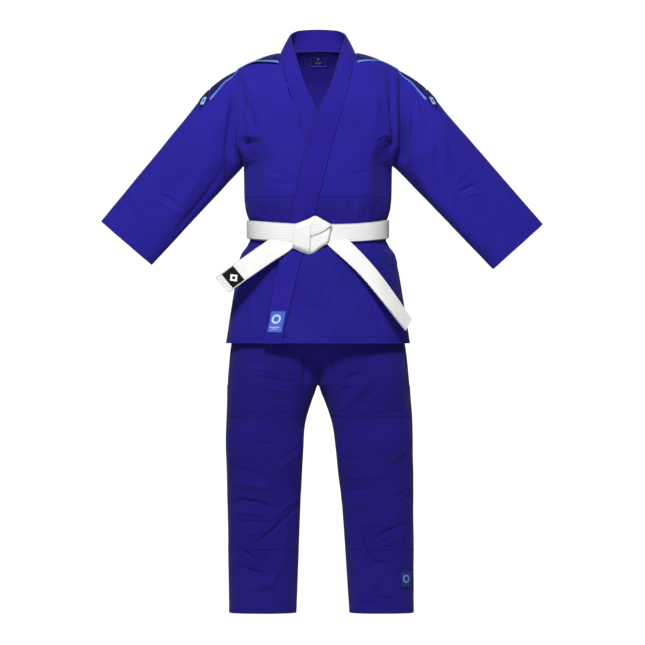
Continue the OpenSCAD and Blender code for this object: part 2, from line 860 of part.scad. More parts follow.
back_panel();
right_front_panel();
left_front_panel();
right_front_skirt();
left_front_skirt();
back_skirt_top();
right_lapel();
left_lapel();
collar();
right_front_hem();
left_front_hem();
right_sleeve_cap();
left_sleeve_cap();
right_shoulder_yoke();
left_shoulder_yoke();
right_shoulder_piping();
left_shoulder_piping();
right_shoulder_badge();
left_shoulder_badge();
right_vent_patch();
left_vent_patch();
neck_label();
lapel_patch();
belt_inner_wrap();
belt_outer_wrap();
belt_knot();
back_skirt();
back_hem();
right_sleeve();
right_cuff();
left_sleeve();
left_cuff();
right_belt_tail();
belt_label();
left_belt_tail();
waistband();
drawcord_loops();
right_hip_panel();
left_hip_panel();
crotch_gusset();
right_leg_panel();
right_knee_patch();
right_leg_hem();
left_leg_panel();
left_knee_patch();
left_leg_hem();
trouser_badge();
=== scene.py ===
"""Looks of the martial arts uniform: a royal blue judo suit with a white belt, on a form that isn't seen.

Geometry is worked out in millimetres in the part's own frame, and build() turns it into metres.
X runs to the wearer's left, Y to the wearer's back and Z up."""

import functools
import math

import bpy
import numpy as np
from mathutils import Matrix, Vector


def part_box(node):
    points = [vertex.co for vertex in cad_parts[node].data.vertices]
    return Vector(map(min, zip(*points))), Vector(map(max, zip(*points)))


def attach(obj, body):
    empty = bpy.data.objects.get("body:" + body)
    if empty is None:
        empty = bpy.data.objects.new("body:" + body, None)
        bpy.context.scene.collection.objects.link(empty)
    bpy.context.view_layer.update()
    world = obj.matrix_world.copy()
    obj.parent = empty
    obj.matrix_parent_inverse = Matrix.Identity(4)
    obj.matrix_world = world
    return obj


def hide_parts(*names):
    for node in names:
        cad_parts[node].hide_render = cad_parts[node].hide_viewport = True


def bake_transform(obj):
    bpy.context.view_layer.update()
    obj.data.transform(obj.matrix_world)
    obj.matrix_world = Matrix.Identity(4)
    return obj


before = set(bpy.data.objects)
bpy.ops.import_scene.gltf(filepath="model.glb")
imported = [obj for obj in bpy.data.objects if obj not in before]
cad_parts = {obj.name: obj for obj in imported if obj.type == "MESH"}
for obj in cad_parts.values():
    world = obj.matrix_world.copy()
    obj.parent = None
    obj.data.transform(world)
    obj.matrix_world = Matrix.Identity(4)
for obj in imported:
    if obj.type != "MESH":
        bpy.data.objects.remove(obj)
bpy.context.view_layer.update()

MM = 0.001
RIGHT, LEFT = -1, 1
FRONT, BACK = -1, 1
SIDE = {RIGHT: "right", LEFT: "left"}


def low(node, axis):
    """The smallest coordinate of a CAD node along an axis, in millimetres."""
    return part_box(node)[0][axis] / MM


def high(node, axis):
    """The largest coordinate of a CAD node along an axis, in millimetres."""
    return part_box(node)[1][axis] / MM


# ---------------------------------------------------------------- sizes, in millimetres

HEM_Z = low("left_front_skirt", 2)
WAIST_SEAM_Z = high("left_front_skirt", 2)
VENT_Z = high("back_skirt", 2) + 2.4
ARMPIT_Z = 170.0
CROWN_Z = 255.0      # above this height the panels turn over towards the shoulder line
SHOULDER_Z = 400.0   # the shoulder line's end at the armhole
NECK_SIDE_Z = 441.0  # and at the neck
NECK_RISE = 32.0
TROUSER_Z = low("left_leg_panel", 2)
CROTCH_Z = -362.0
GUSSET_END_Z = -404.0

HEM_HALF_W = high("back_skirt", 0)
BACK_TOP_W = high("back_panel", 0)
NECK_U = 92.0 / BACK_TOP_W
WAIST_HALF_W, WAIST_FRONT_D, WAIST_BACK_D = 165.5, 108.0, 104.0
ARM_HALF_D = 60.0
ROUNDNESS, LEG_ROUNDNESS = 2.4, 2.6

CLOTH, LAPEL, HEM_FOLD, TROUSER_CLOTH = 2.6, 5.0, 1.6, 1.8
LAPEL_W = 50.0
BELT_W, BELT_T = 42.0, 2.3
GAP = 0.3            # between a sheet and the one turned up behind it
HEM_STITCH, LEG_HEM_STITCH, CUFF_STITCH = 13.0, 27.0, 40.0

PIVOT = {RIGHT: np.array([-199.0, 0.0, 290.0]), LEFT: np.array([199.0, 0.0, 290.0])}
SLEEVE_DROP = {RIGHT: math.radians(49.3), LEFT: math.radians(48.0)}
SLEEVE_LENGTH = {RIGHT: 408.0, LEFT: 428.0}

# how many grid rows and columns some surfaces have
LAPEL_ROWS, SLEEVE_COLUMNS, TROUSER_COLUMNS, TAIL_ROWS, BELT_COLUMNS = 215, 192, 240, 150, 44
SKIRT_ROWS, SKIRT_COLUMNS = 150, 130


# ---------------------------------------------------------------- curves and surfaces

def curve(points):
    """A smooth function through (x, y) points that doesn't overshoot between them."""
    x, y = np.array(sorted(points), float).T
    h, d = np.diff(x), np.diff(y) / np.diff(x)
    m = np.zeros_like(x)
    m[0], m[-1] = d[0], d[-1]
    same = d[1:] * d[:-1] > 0
    w1, w2 = 2 * h[1:] + h[:-1], h[1:] + 2 * h[:-1]
    with np.errstate(divide="ignore", invalid="ignore"):
        m[1:-1] = np.where(same, (w1 + w2) / (w1 / d[:-1] + w2 / d[1:]), 0)

    def at(q):
        q = np.clip(np.asarray(q, float), x[0], x[-1])
        i = np.clip(np.searchsorted(x, q) - 1, 0, len(h) - 1)
        t = (q - x[i]) / h[i]
        a = (1 + 2 * t) * (1 - t) ** 2 * y[i] + t * (1 - t) ** 2 * h[i] * m[i]
        return a + t * t * (3 - 2 * t) * y[i + 1] + t * t * (t - 1) * h[i] * m[i + 1]

    return at


def mix(a, b, t):
    """From a to b as t goes from 0 to 1."""
    return a + (b - a) * t


def ease(t):
    """From 0 to 1 with a soft start and end."""
    t = np.clip(t, 0, 1)
    return t * t * (3 - 2 * t)


def window(x, start, finish, soft):
    """1 between start and finish, fading to 0 over soft on either side."""
    return ease((x - start) / soft + 1) * ease((finish - x) / soft + 1)


def power(v, e):
    """The power of the absolute value, with the sign kept."""
    return np.sign(v) * np.abs(v) ** e


def stack(x, y, z):
    """Points from three coordinates, which may be arrays or numbers."""
    x, y, z = np.broadcast_arrays(x, y, z)
    return np.stack([x, y, z], axis=-1).astype(float)


def by_length(points, count):
    """A smooth curve through (x, y, z) points, as count points by its length."""
    line = np.array(points, float)
    s = arc(line, 0)
    at = np.linspace(0, s[-1], count)
    return np.stack([curve(list(zip(s, line[:, k])))(at) for k in range(3)], axis=1)


def oval(half_w, half_d, z, angle, roundness=ROUNDNESS):
    """A point at this angle on an oval that is fuller than an ellipse."""
    e = 2 / roundness
    return stack(half_w * power(np.cos(angle), e), half_d * power(np.sin(angle), e), z)


def pillow(t, fullness):
    """0 at both ends of t, which goes from 0 to 1, and 1 between them."""
    return 1 - np.abs(2 * t - 1) ** fullness


def furrow(distance, depth, width):
    """The groove that a row of stitches presses into the cloth at distance 0."""
    return -depth * np.exp(-(distance / width) ** 2)


def index_of(wanted, line):
    """Fractional places in a rising row of numbers where it reaches the wanted ones."""
    return np.interp(wanted, line, np.arange(len(line)))


jacket_width = curve([
    (HEM_Z, HEM_HALF_W), (-150, 206), (-75, 193), (VENT_Z, 186), (-24, 169), (-12, WAIST_HALF_W),
    (30, WAIST_HALF_W), (42, 170), (62, 176), (WAIST_SEAM_Z, 179.5), (165, 181), (184, 184),
    (218, BACK_TOP_W), (SHOULDER_Z, BACK_TOP_W)])
front_depth = curve([
    (HEM_Z, 143), (-150, 133), (-75, 126), (VENT_Z, 121), (-24, 110), (-12, WAIST_FRONT_D),
    (30, WAIST_FRONT_D), (46, 112), (WAIST_SEAM_Z, 122), (160, 130), (200, 131), (CROWN_Z, 130)])
back_depth = curve([
    (HEM_Z, 143), (-150, 131), (-75, 122), (VENT_Z, 117), (-24, 106), (-12, WAIST_BACK_D),
    (30, WAIST_BACK_D), (46, 107), (WAIST_SEAM_Z, 114), (160, 120), (200, 121), (CROWN_Z, 120)])


def ridge(u, side):
    """Height of the shoulder line, u of the way from the middle to the armhole."""
    a = np.abs(u)
    outer = mix(NECK_SIDE_Z, SHOULDER_Z, (np.maximum(a - NECK_U, 0) / (1 - NECK_U)) ** 1.5)
    inner = NECK_SIDE_Z + (NECK_RISE * (1 - (a / NECK_U) ** 2) if side == BACK else 0 * a)
    return np.where(a >= NECK_U, outer, inner)


def arm_depth(z):
    """Half depth of the armhole's edge at height z."""
    t = np.clip((CROWN_Z - z) / (CROWN_Z - ARMPIT_Z), 0, 1)
    return ARM_HALF_D * np.sqrt(1 - t * t)


def jacket_point(u, z, o, side):
    """A point u across the width at height z, o outside the base surface, on the front or the back."""
    top = ridge(u, side) + o
    z = np.minimum(z, top)
    w = jacket_width(z) + o
    d = (front_depth(z) if side == FRONT else back_depth(z)) + o
    e = arm_depth(z) * (1 + o / ARM_HALF_D)
    y = e + (d - e) * (1 - np.minimum(1, np.abs(u)) ** ROUNDNESS) ** (1 / ROUNDNESS)
    k = np.sqrt(np.clip(1 - (np.maximum(z - CROWN_Z, 0) / (top - CROWN_Z)) ** 2, 0, 1))
    return stack(u * w, side * (y * k + 0.3), z)


def panel_height(v, u, phi_top, side):
    """Row v of a panel: up to 1 it rises to the crown, from 1 to 2 it curves over to the shoulder line."""
    over = CROWN_Z + (ridge(u, side) - CROWN_Z) * np.sin(np.maximum(v - 1, 0) * phi_top)
    return np.where(v < 1, mix(WAIST_SEAM_Z - 1, CROWN_Z, v), over)


# ---------------------------------------------------------------- meshes

PIECES = {}


def normals_of(p, wrap, inside):
    """Unit normals of a grid of points, which point away from inside."""
    du = np.gradient(p, axis=0)
    if wrap:
        q = np.concatenate([p[:, -1:], p, p[:, :1]], axis=1)
        dv = (q[:, 2:] - q[:, :-2]) / 2
    else:
        dv = np.gradient(p, axis=1)
    n = np.cross(du, dv)
    n /= np.maximum(np.linalg.norm(n, axis=-1, keepdims=True), 1e-9)
    return n * (1 if np.sum(n * (p - inside)) > 0 else -1)


def arc(p, axis):
    """How far each point is from the start of its row or column, along the cloth."""
    step = np.linalg.norm(np.diff(p, axis=axis), axis=-1)
    zero = np.zeros_like(np.take(step, [0], axis=axis))
    return np.concatenate([zero, np.cumsum(step, axis=axis)], axis=axis)


def grid_quads(m, n, wrap):
    """The faces of an m by n grid of points, each as four point numbers."""
    grid = np.arange(m * n).reshape(m, n)
    if wrap:
        grid = np.concatenate([grid, grid[:, :1]], axis=1)
    return np.stack([grid[:-1, :-1], grid[1:, :-1], grid[1:, 1:], grid[:-1, 1:]], axis=-1).reshape(-1, 4)


def border_loops(m, n, wrap):
    """The point numbers round the grid's edge: one loop, or two where the grid closes on itself."""
    grid = np.arange(m * n).reshape(m, n)
    if wrap:
        return [grid[0], grid[-1, ::-1]]
    return [np.concatenate([grid[0], grid[1:, -1], grid[-1, -2::-1], grid[-2:0:-1, 0]])]


def outward(p, normal, loop, wrap):
    """Directions along the surface that point out of it at its edge."""
    m, n = p.shape[:2]
    flat = p.reshape(-1, 3)
    out = np.cross(flat[np.roll(loop, -1)] - flat[np.roll(loop, 1)], normal.reshape(-1, 3)[loop])
    out /= np.maximum(np.linalg.norm(out, axis=1, keepdims=True), 1e-9)
    if wrap:
        inward = flat[np.where(loop < n, loop + n, loop - n)]
    else:
        inward = p[np.clip(loop // n, 1, m - 2), np.clip(loop % n, 1, n - 2)]
    return out * (1 if np.sum(out * (flat[loop] - inward)) > 0 else -1)


def close_seam(corner, p):
    """Where a wrapped sheet meets itself, u goes on past the full turn instead of going back to 0."""
    u = corner[:, :, 0]
    seam = u.max(1) - u.min(1) > 0.5 * u.max()
    turn = (arc(p, 1)[:, -1].mean() + np.linalg.norm(p[:, 0] - p[:, -1], axis=-1).mean()) * MM
    u += (seam[:, None] & (u < 0.5 * u.max())) * turn


def build(name, p, thickness, cloth, wrap=False, inside=None, anchor=0.0, relief=0.0):
    """A closed sheet of cloth with rounded edges: p is its outside surface as a grid of points.

    The UV map is in metres across and along the sheet, and anchor, from 0 to 1, is where u is counted from.
    relief moves the outside surface only, along its normals."""
    m, n = p.shape[:2]
    count = m * n
    normal = normals_of(p, wrap, [0, 0, p[..., 2].mean()] if inside is None else inside)
    outer = (p + normal * np.asarray(relief)[..., None]).reshape(-1, 3)
    inner = (p - normal * thickness).reshape(-1, 3)
    points, faces = [outer, inner], [grid_quads(m, n, wrap)]
    faces.append(faces[0][:, ::-1] + count)
    loops = border_loops(m, n, wrap)
    for loop in loops:
        ring = sum(len(part) for part in points) + np.arange(len(loop))
        points.append((outer[loop] + inner[loop]) / 2 + outward(p, normal, loop, wrap) * thickness * 0.35)
        ahead, ring_ahead = np.roll(loop, -1), np.roll(ring, -1)
        faces.append(np.stack([ahead, loop, ring, ring_ahead], axis=1))
        faces.append(np.stack([ring_ahead, ring, loop + count, ahead + count], axis=1))
    points, faces = np.concatenate(points) * MM, np.concatenate(faces)
    if np.cross(p[1, 0] - p[0, 0], p[0, 1] - p[0, 0]) @ normal[0, 0] < 0:
        faces = faces[:, ::-1]

    mesh = bpy.data.meshes.new(name)
    mesh.vertices.add(len(points))
    mesh.vertices.foreach_set("co", points.astype(np.float32).ravel())
    mesh.loops.add(faces.size)
    mesh.loops.foreach_set("vertex_index", faces.astype(np.int32).ravel())
    mesh.polygons.add(len(faces))
    mesh.polygons.foreach_set("loop_start", np.arange(0, faces.size, 4, dtype=np.int32))
    mesh.update(calc_edges=True)
    mesh.validate()

    across, along = arc(p, 1), arc(p, 0)
    across = across - across[:, [round(anchor * (n - 1))]]
    source = np.concatenate([np.arange(count), np.arange(count), *loops])
    corner = np.stack([across.ravel()[source][faces], along.ravel()[source][faces]], axis=-1) * MM
    if wrap:
        close_seam(corner, p)
    layer = mesh.uv_layers.new(name="Cloth")
    layer.data.foreach_set("uv", corner.astype(np.float32).ravel())

    mesh.shade_smooth()
    mesh.materials.append(cloth)
    PIECES[name] = bpy.data.objects.new(name + "_cloth", mesh)
    bpy.context.collection.objects.link(PIECES[name])


def stroke(p, points, width, height, side=None):
    """A fold along a line of (x, z) points: height above (or below) the cloth, fading at both ends."""
    line = np.array(points, float)
    x, z = p[..., 0], p[..., 2]
    best, along = np.full(x.shape, 1e9), np.zeros(x.shape)
    total = arc(line, 0)
    for start, step, reached in zip(line, np.diff(line, axis=0), total):
        t = np.clip(((x - start[0]) * step[0] + (z - start[1]) * step[1]) / (step @ step), 0, 1)
        r = np.hypot(x - start[0] - t * step[0], z - start[1] - t * step[1])
        closer = r < best
        best = np.where(closer, r, best)
        along = np.where(closer, (reached + t * math.sqrt(step @ step)) / total[-1], along)
    taper = np.sin(np.pi * np.clip(along, 0.02, 0.98)) ** 0.6
    h = height * np.exp(-(best / width) ** 2) * taper
    return h if side is None else h * ease(side * p[..., 1] / 30)


def waves(p, scale, count, seed):
    """A sum of smooth random waves, about -1 to 1, for unevenness that no seam explains."""
    r = np.random.default_rng(seed)
    total = np.zeros(p.shape[:-1])
    for _ in range(count):
        direction = r.normal(size=3)
        direction /= np.linalg.norm(direction)
        total += np.sin(p @ direction * 2 * math.pi / (scale * r.uniform(0.7, 1.5)) + r.uniform(0, 6.28))
    return total / math.sqrt(count)


# ---------------------------------------------------------------- materials

def material(name, colour, roughness=0.9):
    """A matt cloth with a faint sheen."""
    mat = bpy.data.materials.new(name)
    mat.use_nodes = True
    settings = {"Base Color": (*colour, 1), "Roughness": roughness, "Sheen Weight": 0.03,
                "Sheen Roughness": 0.45, "Specular IOR Level": 0.12}
    for socket, value in settings.items():
        mat.node_tree.nodes["Principled BSDF"].inputs[socket].default_value = value
    return mat


class Graph:
    """Short names for the nodes that every cloth material uses. Lengths are in metres."""

    def __init__(self, mat):
        self.mat, self.tree = mat, mat.node_tree
        uv = self.add("ShaderNodeUVMap")
        uv.uv_map = "Cloth"
        split = self.add("ShaderNodeSeparateXYZ")
        self.put(uv.outputs[0], split.inputs[0])
        self.uv, self.u, self.v = uv.outputs[0], split.outputs[0], split.outputs[1]

    def add(self, kind):
        return self.tree.nodes.new(kind)

    def put(self, value, socket):
        """Sets a socket to a number or a colour, or links it to another node's output."""
        if isinstance(value, tuple):
            socket.default_value = (*value, 1)
        elif isinstance(value, (int, float)):
            socket.default_value = value
        else:
            self.tree.links.new(value, socket)

    def math(self, operation, *values):
        node = self.add("ShaderNodeMath")
        node.operation = operation
        for socket, value in zip(node.inputs, values):
            self.put(value, socket)
        return node.outputs[0]

    def plus(self, a, b):
        return self.math("ADD", a, b)

    def minus(self, a, b):
        return self.math("SUBTRACT", a, b)

    def times(self, a, b):
        return self.math("MULTIPLY", a, b)

    def larger(self, a, b):
        return self.math("MAXIMUM", a, b)

    def off(self, a, b):
        """How far a is from b."""
        return self.math("ABSOLUTE", self.minus(a, b))

    def wave(self, coordinate, pitch):
        return self.math("COSINE", self.times(coordinate, 2 * math.pi / pitch))

    def weave(self, across, along):
        """Grains in rows, at these pitches across and along the cloth."""
        return self.times(self.wave(self.u, across), self.wave(self.v, along))

    def noise(self, scale, amount=1.0):
        node = self.add("ShaderNodeTexNoise")
        node.inputs["Scale"].default_value = scale
        node.inputs["Detail"].default_value = 3.0
        self.put(self.uv, node.inputs["Vector"])
        return self.times(node.outputs["Fac"], amount)

    def ramp(self, value, start, end, at_start=0.0, at_end=1.0):
        node = self.add("ShaderNodeMapRange")
        for socket, given in zip(node.inputs, (value, start, end, at_start, at_end)):
            self.put(given, socket)
        return node.outputs[0]

    def within(self, value, edge, soft):
        return self.ramp(value, edge - soft, edge + soft, 1.0, 0.0)

    def blend(self, factor, a, b):
        """From colour a to colour b."""
        node = self.add("ShaderNodeMix")
        node.data_type = "RGBA"
        for place, value in ((0, factor), (6, a), (7, b)):
            self.put(value, node.inputs[place])
        return node.outputs[2]

    def finish(self, colour, height, strength, distance):
        """Gives the material its colour and the small relief of its threads."""
        bump = self.add("ShaderNodeBump")
        for socket, value in (("Strength", strength), ("Distance", distance), ("Height", height)):
            self.put(value, bump.inputs[socket])
        shader = self.tree.nodes["Principled BSDF"]
        self.put(bump.outputs[0], shader.inputs["Normal"])
        self.put(colour, shader.inputs["Base Color"])
        return self.mat


BLUE = (0.016, 0.011, 0.255)
BLUE_DEEP = (0.012, 0.008, 0.205)
BLUE_LIGHT = (0.022, 0.016, 0.300)
TROUSER_BLUES = (0.0084, 0.0046, 0.134), (0.0126, 0.0076, 0.172)
NAVY = (0.006, 0.008, 0.06)
SKY = (0.24, 0.38, 0.80)


def rice_weave():
    """The thick jacket cloth: rows of raised grains, each row set off by half a grain."""
    g = Graph(material("rice_weave", BLUE))
    grain = g.larger(g.weave(0.0034, 0.0070), 0.0)
    height = g.plus(g.plus(grain, g.times(g.wave(g.v, 0.0011), 0.10)), g.noise(900.0, 0.35))
    tone = g.plus(g.times(grain, 0.55), g.noise(7.0, 0.6))
    return g.finish(g.blend(g.ramp(tone, 0.1, 0.9), BLUE_DEEP, BLUE_LIGHT), height, 0.55, 0.0007)


def quilted_weave():
    """The lighter skirt cloth: a fine ground with sunken lines, in tall diamonds and along the hem."""
    g = Graph(material("quilted_weave", BLUE))
    u, v = g.times(g.u, 1 / 0.030), g.times(g.v, 1 / 0.040)
    rising, falling = (g.ramp(g.wave(slope, 1.0), 0.93, 1.0) for slope in (g.plus(u, v), g.minus(u, v)))
    hem_line = g.ramp(g.off(g.v, 0.0125), 0.0005, 0.0013, 1.6, 0.0)
    lines = g.larger(g.larger(rising, falling), hem_line)
    ground = g.weave(0.0018, 0.0026)
    height = g.plus(g.plus(g.times(ground, 0.35), g.times(lines, -0.7)), g.noise(900.0, 0.3))
    tone = g.minus(g.plus(g.noise(7.0), g.times(ground, 0.15)), g.times(lines, 0.16))
    colour = g.blend(g.ramp(tone, 0.2, 0.8), (0.0092, 0.006, 0.158), (0.0165, 0.012, 0.232))
    return g.finish(colour, height, 0.5, 0.0006)


def threads(g, rows):
    """1 on the threads of rows of stitches along the cloth, 0 between them."""
    total = 0.0
    for row in rows:
        total = g.larger(total, g.ramp(g.off(g.u, row), 0.00042, 0.00091, 1.0, 0.0))
    return g.times(total, g.ramp(g.wave(g.v, 0.0035), -0.75, -0.35))


def twill(name, dark, light, pitch=0.0013, rows=()):
    """A smooth cloth with fine diagonal ribs, and rows of stitches where they are asked for."""
    g = Graph(material(name, dark))
    rib = g.wave(g.plus(g.u, g.v), pitch)
    cross = g.times(g.wave(g.minus(g.u, g.v), pitch * 0.7), 0.4)
    height = g.plus(g.plus(rib, cross), g.noise(1200.0, 0.6))
    tone = g.plus(g.noise(9.0), g.times(rib, 0.08))
    colour = g.blend(g.ramp(tone, 0.25, 0.8), dark, light)
    if rows:
        sewn = threads(g, rows)
        height = g.plus(g.times(height, 0.3), g.times(sewn, 1.6))
        colour = g.blend(g.times(sewn, 0.6), colour, tuple(c * 1.5 for c in light))
    return g.finish(colour, height, 0.4, 0.0004)


def belt_cloth():
    """Thick white cotton. The furrows of its stitched rows are in the mesh."""
    g = Graph(material("belt_cotton", (0.75, 0.75, 0.745), roughness=0.85))
    ground = g.weave(0.0011, 0.0011)
    tone = g.plus(g.noise(12.0), g.times(ground, 0.1))
    colour = g.blend(g.ramp(tone, 0.2, 0.8), (0.68, 0.68, 0.675), (0.76, 0.76, 0.755))
    return g.finish(colour, g.plus(ground, g.noise(1500.0, 0.8)), 0.35, 0.0003)


def label_cloth(name, ground, marks):
    """A woven label: a plain ground with generic marks, each given as (kind, x, y, size, colour)."""
    g = Graph(material(name, ground, roughness=0.7))
    colour = ground
    for kind, x, y, size, paint in marks:
        du, dv = g.off(g.u, x), g.off(g.v, y)
        if kind == "bar":
            mask = g.times(g.within(du, size[0] / 2, 0.0002), g.within(dv, size[1] / 2, 0.0002))
        elif kind == "diamond":
            mask = g.within(g.plus(du, dv), size, 0.0003)
        else:
            distance = g.math("SQRT", g.plus(g.times(du, du), g.times(dv, dv)))
            mask = g.ramp(g.off(distance, size), size * 0.22, size * 0.22 + 0.0004, 1.0, 0.0)
        colour = g.blend(mask, colour, paint)
    return g.finish(colour, g.weave(0.0007, 0.0009), 0.3, 0.0002)


def shoulder_badge_cloth(name):
    marks = [("diamond", 0.014, 0.016, 0.0125, SKY), ("diamond", 0.014, 0.016, 0.0045, NAVY)]
    return label_cloth(name + "_badge_cloth", NAVY, marks)


def lapel_patch_cloth():
    return label_cloth("lapel_patch_cloth", (0.055, 0.11, 0.50), [
        ("ring", 0.020, 0.032, 0.009, (0.45, 0.60, 0.9)),
        ("bar", 0.020, 0.012, (0.024, 0.0016), (0.75, 0.48, 0.12)),
        ("bar", 0.020, 0.0075, (0.016, 0.0012), (0.35, 0.5, 0.85))])


def belt_label_cloth():
    black, pale = (0.006, 0.006, 0.006), (0.8, 0.8, 0.8)
    marks = [("diamond", 0.019, 0.0175, 0.012, pale), ("diamond", 0.019, 0.0175, 0.0052, black)]
    return label_cloth("belt_label_cloth", black, marks)


def trouser_badge_cloth():
    ring = ("ring", 0.014, 0.019, 0.008, (0.12, 0.20, 0.5))
    return label_cloth("trouser_badge_cloth", (0.016, 0.022, 0.12), [ring])


def neck_label_cloth():
    dim, bright = (0.10, 0.11, 0.42), (0.3, 0.34, 0.7)
    edging = [("bar", 0.020, y, (0.036, 0.0007), dim) for y in (0.002, 0.0165, 0.027)]
    edging += [("bar", x, 0.0145, (0.0007, 0.025), dim) for x in (0.002, 0.038)]
    return label_cloth("neck_label_cloth", (0.012, 0.008, 0.17), edging + [
        ("diamond", 0.020, 0.0225, 0.0030, bright), ("bar", 0.020, 0.0115, (0.016, 0.0014), bright),
        ("bar", 0.020, 0.0065, (0.010, 0.0010), dim)])


# ---------------------------------------------------------------- surfaces with folds

def stitch_places(width):
    """Places of six evenly spaced rows of stitches across a band."""
    margin = 0.09 * width
    return [mix(margin, width - margin, k / 5) for k in range(6)]


def stitch_channels(width, depth, t):
    """The furrows of those rows, t from 0 to 1 across the band."""
    return sum(furrow(t * width - place, depth, 1.1) for place in stitch_places(width))


def toward_viewer(normal):
    """1 where cloth faces forward or back, 0.15 where it faces sideways: folds leave the outline calm."""
    return mix(0.15, 1.0, ease(np.abs(normal[..., 1]) / 0.75))


class Surface:
    """The outside of a piece of cloth as a grid of points, after its folds have been pressed in."""

    def __init__(self, p, wrap=False, inside=None, folds=None):
        self.p, self.wrap = p, wrap
        self.inside = [0, 0, p[..., 2].mean()] if inside is None else inside
        self.normal = normals_of(p, wrap, self.inside)
        if folds is not None:
            height = folds(p) if callable(folds) else folds
            self.p = p + self.normal * (height * toward_viewer(self.normal))[..., None]
            self.normal = normals_of(self.p, wrap, self.inside)

    def sample(self, i, j, lift=0.0):
        """Points at fractional rows i and columns j of the grid, lifted off the surface."""
        m, n = self.p.shape[:2]
        i, j = np.broadcast_arrays(np.clip(i, 0, m - 1), j if self.wrap else np.clip(j, 0, n - 1))
        i0 = np.minimum(np.floor(i).astype(int), m - 2)
        j0 = np.floor(j).astype(int) if self.wrap else np.minimum(np.floor(j).astype(int), n - 2)
        a, b = (i - i0)[..., None], (j - j0)[..., None]
        j1, j0 = (j0 + 1) % n, j0 % n
        place, normal = (mix(mix(q[i0, j0], q[i0, j1], b), mix(q[i0 + 1, j0], q[i0 + 1, j1], b), a)
                         for q in (self.p, self.normal))
        return place + normal * lift


def sheet_of(name, surface, thickness, cloth, anchor=0.0, relief=0.0):
    """build() for a Surface."""
    build(name, surface.p, thickness, cloth, surface.wrap, surface.inside, anchor, relief)


def relax(p, sigma):
    """Smooths a grid from row to row, and keeps its first and last row where they are."""
    radius = int(3 * sigma)
    kernel = np.exp(-0.5 * (np.arange(-radius, radius + 1) / sigma) ** 2)
    kernel /= kernel.sum()
    start = 2 * p[:1] - p[1:radius + 1][::-1]
    end = 2 * p[-1:] - p[-radius - 1:-1][::-1]
    padded = np.concatenate([start, p, end])
    return sum(k * padded[i:i + len(p)] for i, k in enumerate(kernel))


def resample(p, count):
    """The same grid with evenly spaced rows, by the mean distance along it."""
    s = np.concatenate([[0], np.cumsum(np.linalg.norm(np.diff(p, axis=0), axis=-1).mean(axis=1))])
    at = np.linspace(0, s[-1], count)
    i = np.clip(np.searchsorted(s, at, side="right") - 1, 0, len(p) - 2)
    t = ((at - s[i]) / (s[i + 1] - s[i]))[:, None, None]
    return p[i] * (1 - t) + p[i + 1] * t


def at_side(p, side):
    """1 on the front (or the back), 0 on the other side, soft across the side seam."""
    return ease(0.5 + side * p[..., 1] / 40)


# ---------------------------------------------------------------- folds of the jacket and the trousers

# Each fold is the line of (x, z) points that it runs along, its half width, and how far it stands out or,
# below 0, is pressed in. They are chosen where the worn cloth is pulled or pushed together.
CHEST_FOLDS = [
    # down beside the right armhole
    ([(-190, 385), (-187, 330), (-182, 215)], 7, -10), ([(-182, 325), (-165, 300), (-155, 260)], 8, -5),
    ([(-145, 340), (-135, 245)], 10, 3.5), ([(-175, 375), (-165, 350), (-150, 335)], 6, 2.5),
    ([(-187, 210), (-175, 220), (-160, 230)], 3.5, -5),
    # down beside the left armhole
    ([(173, 400), (180, 340), (188, 200)], 8, -13), ([(150, 315), (165, 290), (170, 265)], 7, -5),
    ([(140, 350), (135, 250)], 10, 3.5), ([(145, 220), (165, 235), (182, 215)], 3.5, -4.5),
    ([(160, 210), (175, 220), (188, 205)], 3, 3),
    # faint lines across the ribs
    ([(-125, 155), (-90, 145), (-70, 140)], 2.6, -1.6), ([(-125, 125), (-65, 120)], 2.6, -1.6),
    ([(-125, 140), (-75, 130)], 3, 1.4), ([(80, 140), (130, 155)], 3, -1.6)]

# x above and x below, half width and height of each pucker where the belt gathers the cloth above it
PUCKERS = [(-160, -122, 6, -2.5), (-106, -102, 4, -2), (74, 80, 3, -3), (56, 61, 4, 2), (95, 100, 4, 2),
           (117, 119, 3.5, -2.5), (148, 131, 5, -2.5)]
PUCKER_FOLDS = [([(above, 80), (below, 34)], width, height) for above, below, width, height in PUCKERS]

SKIRT_FOLDS = [
    # soft pleats that fall from the belt and the knot
    ([(50, -105), (75, -135), (105, -165)], 3, -2.4), ([(35, -65), (60, -100), (90, -130)], 6, 2.2),
    ([(-105, -70), (-95, -140)], 4, -3), ([(-125, -80), (-135, -160)], 9, 3),
    ([(150, -35), (175, -65), (185, -110)], 6, -2.5), ([(-175, -25), (-165, -50), (-180, -80)], 5, -2),
    # long ones down to the hem
    ([(-170, -160), (-180, -245)], 8, -2.5), ([(-160, -150), (-155, -235)], 8, 2.5),
    ([(130, -160), (160, -250)], 7, -2.5), ([(85, -175), (115, -255)], 9, 2.5),
    ([(-20, -160), (10, -200), (20, -250)], 9, -2)]

